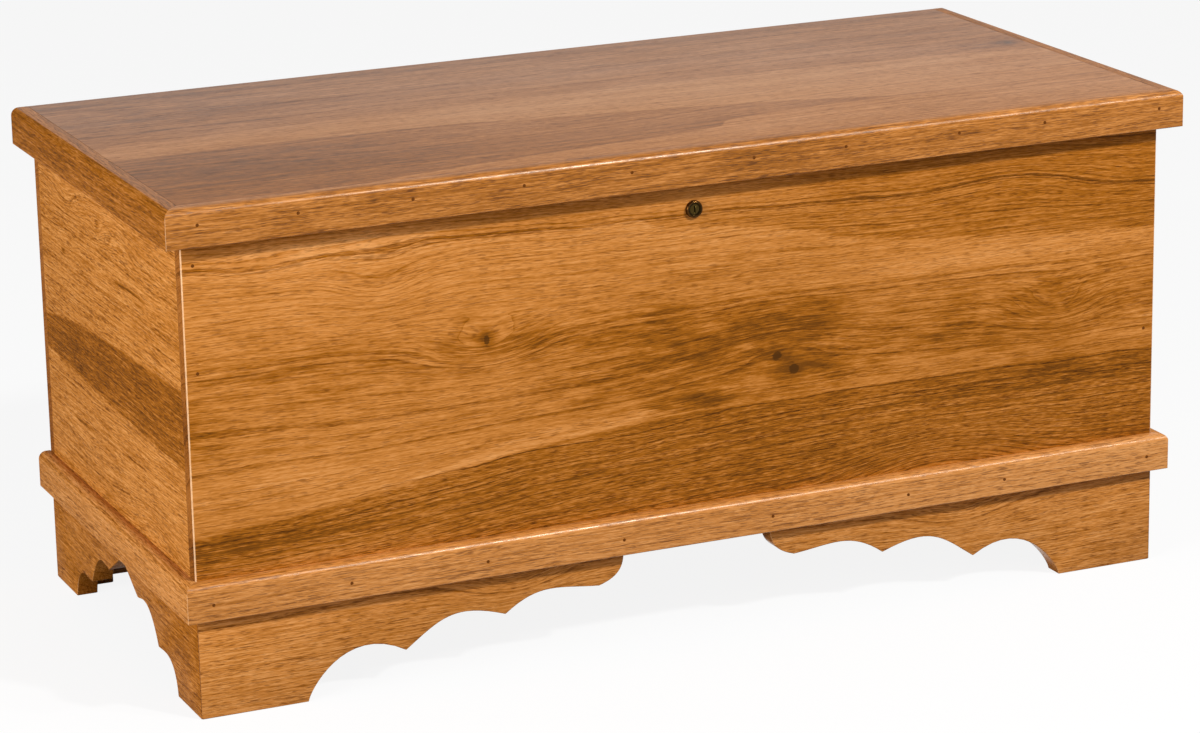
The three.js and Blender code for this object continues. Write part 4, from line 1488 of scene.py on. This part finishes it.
class CHEST_OT_nail_marks(bpy.types.Operator):
    """The filled brad holes in the lip, the moulding and the ends of the front board"""

    bl_idname = "chest.nail_marks"
    bl_label = "Nail marks"

    def mark(self, place, outward):
        """One low dome of filler on a face that looks outward."""
        sizes = bpy.context.scene.chest_sizes
        outward = Vector(outward)
        deselect_all()
        bpy.ops.mesh.primitive_cylinder_add(
            vertices=NAIL_SIDES,
            radius=sizes.nail_radius,
            depth=NAIL_LENGTH,
            location=Vector(place) + outward * (sizes.nail_proud - NAIL_LENGTH / 2),
            rotation=Vector((0, 0, 1)).rotation_difference(outward).to_euler(),
        )
        dome = bpy.context.object
        place_in_mesh()
        start_edit(dome, "FACE", lambda face: face.normal.dot(outward) > FACING)
        rim, rise = sizes.nail_radius * NAIL_RIM, sizes.nail_proud * NAIL_RISE
        bpy.ops.mesh.inset(thickness=rim, depth=rise)
        end_edit()
        return dome

    def strip_marks(self, low, high, height, front_places):
        """The marks along the front and both sides of three strips, in the box low to high."""
        marks = [self.mark((low.x + x, low.y, height), FRONT) for x in front_places]
        for y in SIDE_NAILS:
            marks.append(self.mark((low.x, low.y + y, height), LEFT))
            marks.append(self.mark((high.x, low.y + y, height), RIGHT))
        return marks

    def join(self, name, marks, body, slot, material):
        """Makes one piece of the marks."""
        deselect_all()
        for piece in marks:
            piece.select_set(True)
        bpy.context.view_layer.objects.active = marks[0]
        bpy.ops.object.join()
        piece = bpy.context.object
        piece.name = piece.data.name = name
        settle(piece, body, slot, material)

    def filler(self, dark):
        """Speckled filler, from dark to a lighter brown."""
        graph = Graph("Nail filler")
        speckle = graph.noise(graph.surface("Object"), (FILLER_GRAIN,) * 3)
        base = graph.ramp(speckle, [(0.3, dark), (0.8, scaled(dark, FILLER_LIGHT))])
        graph.finish(Base_Color=base, Roughness=0.6, Specular_IOR_Level=0.05)
        return graph.material

    def execute(self, context):
        filler = self.filler(tuple(context.scene.chest_colours.filler))
        low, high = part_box("lid_lip_front")
        lid_marks = self.strip_marks(low, high, high.z - LIP_NAIL_DROP, LIP_NAILS)
        self.join("lid_nail_marks", lid_marks, "lid", "lip_wood", filler)

        low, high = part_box("base_moulding_front")
        case_marks = self.strip_marks(low, high, low.z + BASE_NAIL_RISE, BASE_NAILS)
        low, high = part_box("front_panel")
        for side, z in CORNER_NAILS:
            x = side * (high.x - CORNER_NAIL_INSET)
            case_marks.append(self.mark((x, low.y, z), FRONT))
        self.join("case_nail_marks", case_marks, "case", "base_wood", filler)
        return {"FINISHED"}


# Camera: the place and turn that give the photograph's view
CAMERA_PLACE = (-1.6549, -3.7593, 1.4064)
CAMERA_AZIMUTH = math.radians(-23.7468)
CAMERA_ELEVATION = math.radians(16.073)
CAMERA_ROLL = math.radians(-1.079)
CAMERA_LENS = 122.9
SENSOR_WIDTH = 36.0

# Lamps: the place, the point that it is aimed at, and its width and height
KEY_LAMP = ((1.25, -2.65, 2.72), (0, -0.2, 0.25), (0.24, 0.24))
RIGHT_LAMP = ((2.25, -2.6, 2.55), (0.1, -0.2, 0.25), (0.30, 0.30))
SIDE_LAMP = ((-2.90, -1.15, 0.9), (-0.5, 0, 0.28), (1.8, 1.2))
FLOOR_WIDTH = 14
# How much of the floor's white as seen is its own
FLOOR_GLOW = 0.88


class CHEST_OT_stage(bpy.types.Operator):
    """Pale floor, soft light and the camera"""

    bl_idname = "chest.stage"
    bl_label = "Stage"

    def camera(self):
        """The camera at the photograph's place."""
        data = bpy.data.cameras.new("Camera")
        data.sensor_width = SENSOR_WIDTH
        data.lens = CAMERA_LENS
        camera = bpy.data.objects.new("Camera", data)
        turn = Matrix.Rotation(CAMERA_AZIMUTH, 4, "Z")
        tilt = Matrix.Rotation(math.pi / 2 - CAMERA_ELEVATION, 4, "X")
        roll = Matrix.Rotation(CAMERA_ROLL, 4, "Z")
        camera.matrix_world = Matrix.Translation(CAMERA_PLACE) @ turn @ tilt @ roll
        bpy.context.scene.collection.objects.link(camera)
        bpy.context.scene.camera = camera

    def area_light(self, name, place, target, size, power):
        """A soft lamp at place that is aimed at target."""
        data = bpy.data.lights.new(name, "AREA")
        data.shape = "RECTANGLE"
        data.size, data.size_y = size
        data.energy = power
        light = bpy.data.objects.new(name, data)
        turn = (Vector(target) - Vector(place)).to_track_quat("-Z", "Y").to_matrix().to_4x4()
        light.matrix_world = Matrix.Translation(place) @ turn
        bpy.context.scene.collection.objects.link(light)

    def floor(self, seen_colour, bounce):
        """White to the camera and in reflections, and grey to the light that it throws back."""
        deselect_all()
        bpy.ops.mesh.primitive_plane_add(size=FLOOR_WIDTH, location=(0, 0, 0))
        floor = bpy.context.object
        floor.name = "Studio floor"
        graph = Graph("Studio floor")
        seen = graph.seen_directly()
        base = graph.mix(seen, bounce, seen_colour)
        graph.finish(Base_Color=base, Roughness=0.9, Specular_IOR_Level=0.0)
        glow = graph.node("ShaderNodeEmission").outputs[0]
        surface = graph.blend(graph.times(seen, FLOOR_GLOW), graph.shader.outputs[0], glow)
        graph.feed(graph.tree.get_output_node("ALL").inputs["Surface"], surface)
        floor.data.materials.append(graph.material)

    def world(self, sky_level):
        """White to the camera and in reflections, and dim to the object."""
        world = bpy.data.worlds.new("Studio")
        bpy.context.scene.world = world
        world.use_nodes = True
        world.node_tree.nodes.clear()
        nodes = Nodes(world.node_tree)
        sky, white = nodes.background(sky_level), nodes.background(1.0)
        surface = nodes.blend(nodes.seen_directly(), sky, white)
        nodes.feed(nodes.node("ShaderNodeOutputWorld").inputs["Surface"], surface)

    def execute(self, context):
        stage = context.scene.chest_stage
        self.camera()
        self.floor(tuple(stage.floor_colour), tuple(stage.floor_bounce))
        self.world(stage.sky_level)
        self.area_light("Key light", *KEY_LAMP, stage.key_power)
        self.area_light("Right light", *RIGHT_LAMP, stage.right_power)
        self.area_light("Side light", *SIDE_LAMP, stage.side_power)
        context.scene.view_settings.view_transform = "Standard"
        return {"FINISHED"}


class CHEST_PT_panel(bpy.types.Panel):
    """Lists the sizes and colours of the chest and the steps that dress it"""

    bl_label = "Blanket chest"
    bl_idname = "CHEST_PT_panel"
    bl_space_type = "VIEW_3D"
    bl_region_type = "UI"
    bl_category = "Chest"

    def draw(self, context):
        scene = context.scene
        for group in (scene.chest_sizes, scene.chest_colours, scene.chest_stage):
            for name in group.bl_rna.properties.keys():
                if name not in ("rna_type", "name"):
                    self.layout.prop(group, name)
        for step in STEPS:
            self.layout.operator(step.bl_idname)


STEPS = (
    CHEST_OT_stage,
    CHEST_OT_case_boards,
    CHEST_OT_bottom,
    CHEST_OT_base_mouldings,
    CHEST_OT_feet,
    CHEST_OT_lid,
    CHEST_OT_hardware,
    CHEST_OT_nail_marks,
)
GROUPS = {"chest_sizes": ChestSizes, "chest_colours": ChestColours, "chest_stage": ChestStage}
CLASSES = (*GROUPS.values(), *STEPS, CHEST_PT_panel)


def register():
    for each in CLASSES:
        bpy.utils.register_class(each)
    for name, group in GROUPS.items():
        setattr(bpy.types.Scene, name, bpy.props.PointerProperty(type=group))


def unregister():
    for name in GROUPS:
        delattr(bpy.types.Scene, name)
    for each in reversed(CLASSES):
        bpy.utils.unregister_class(each)


def main():
    register()
    bpy.ops.chest.stage()
    bpy.ops.chest.case_boards()
    bpy.ops.chest.bottom()
    bpy.ops.chest.base_mouldings()
    bpy.ops.chest.feet()
    bpy.ops.chest.lid()
    bpy.ops.chest.hardware()
    bpy.ops.chest.nail_marks()


if __name__ == "__main__":
    main()
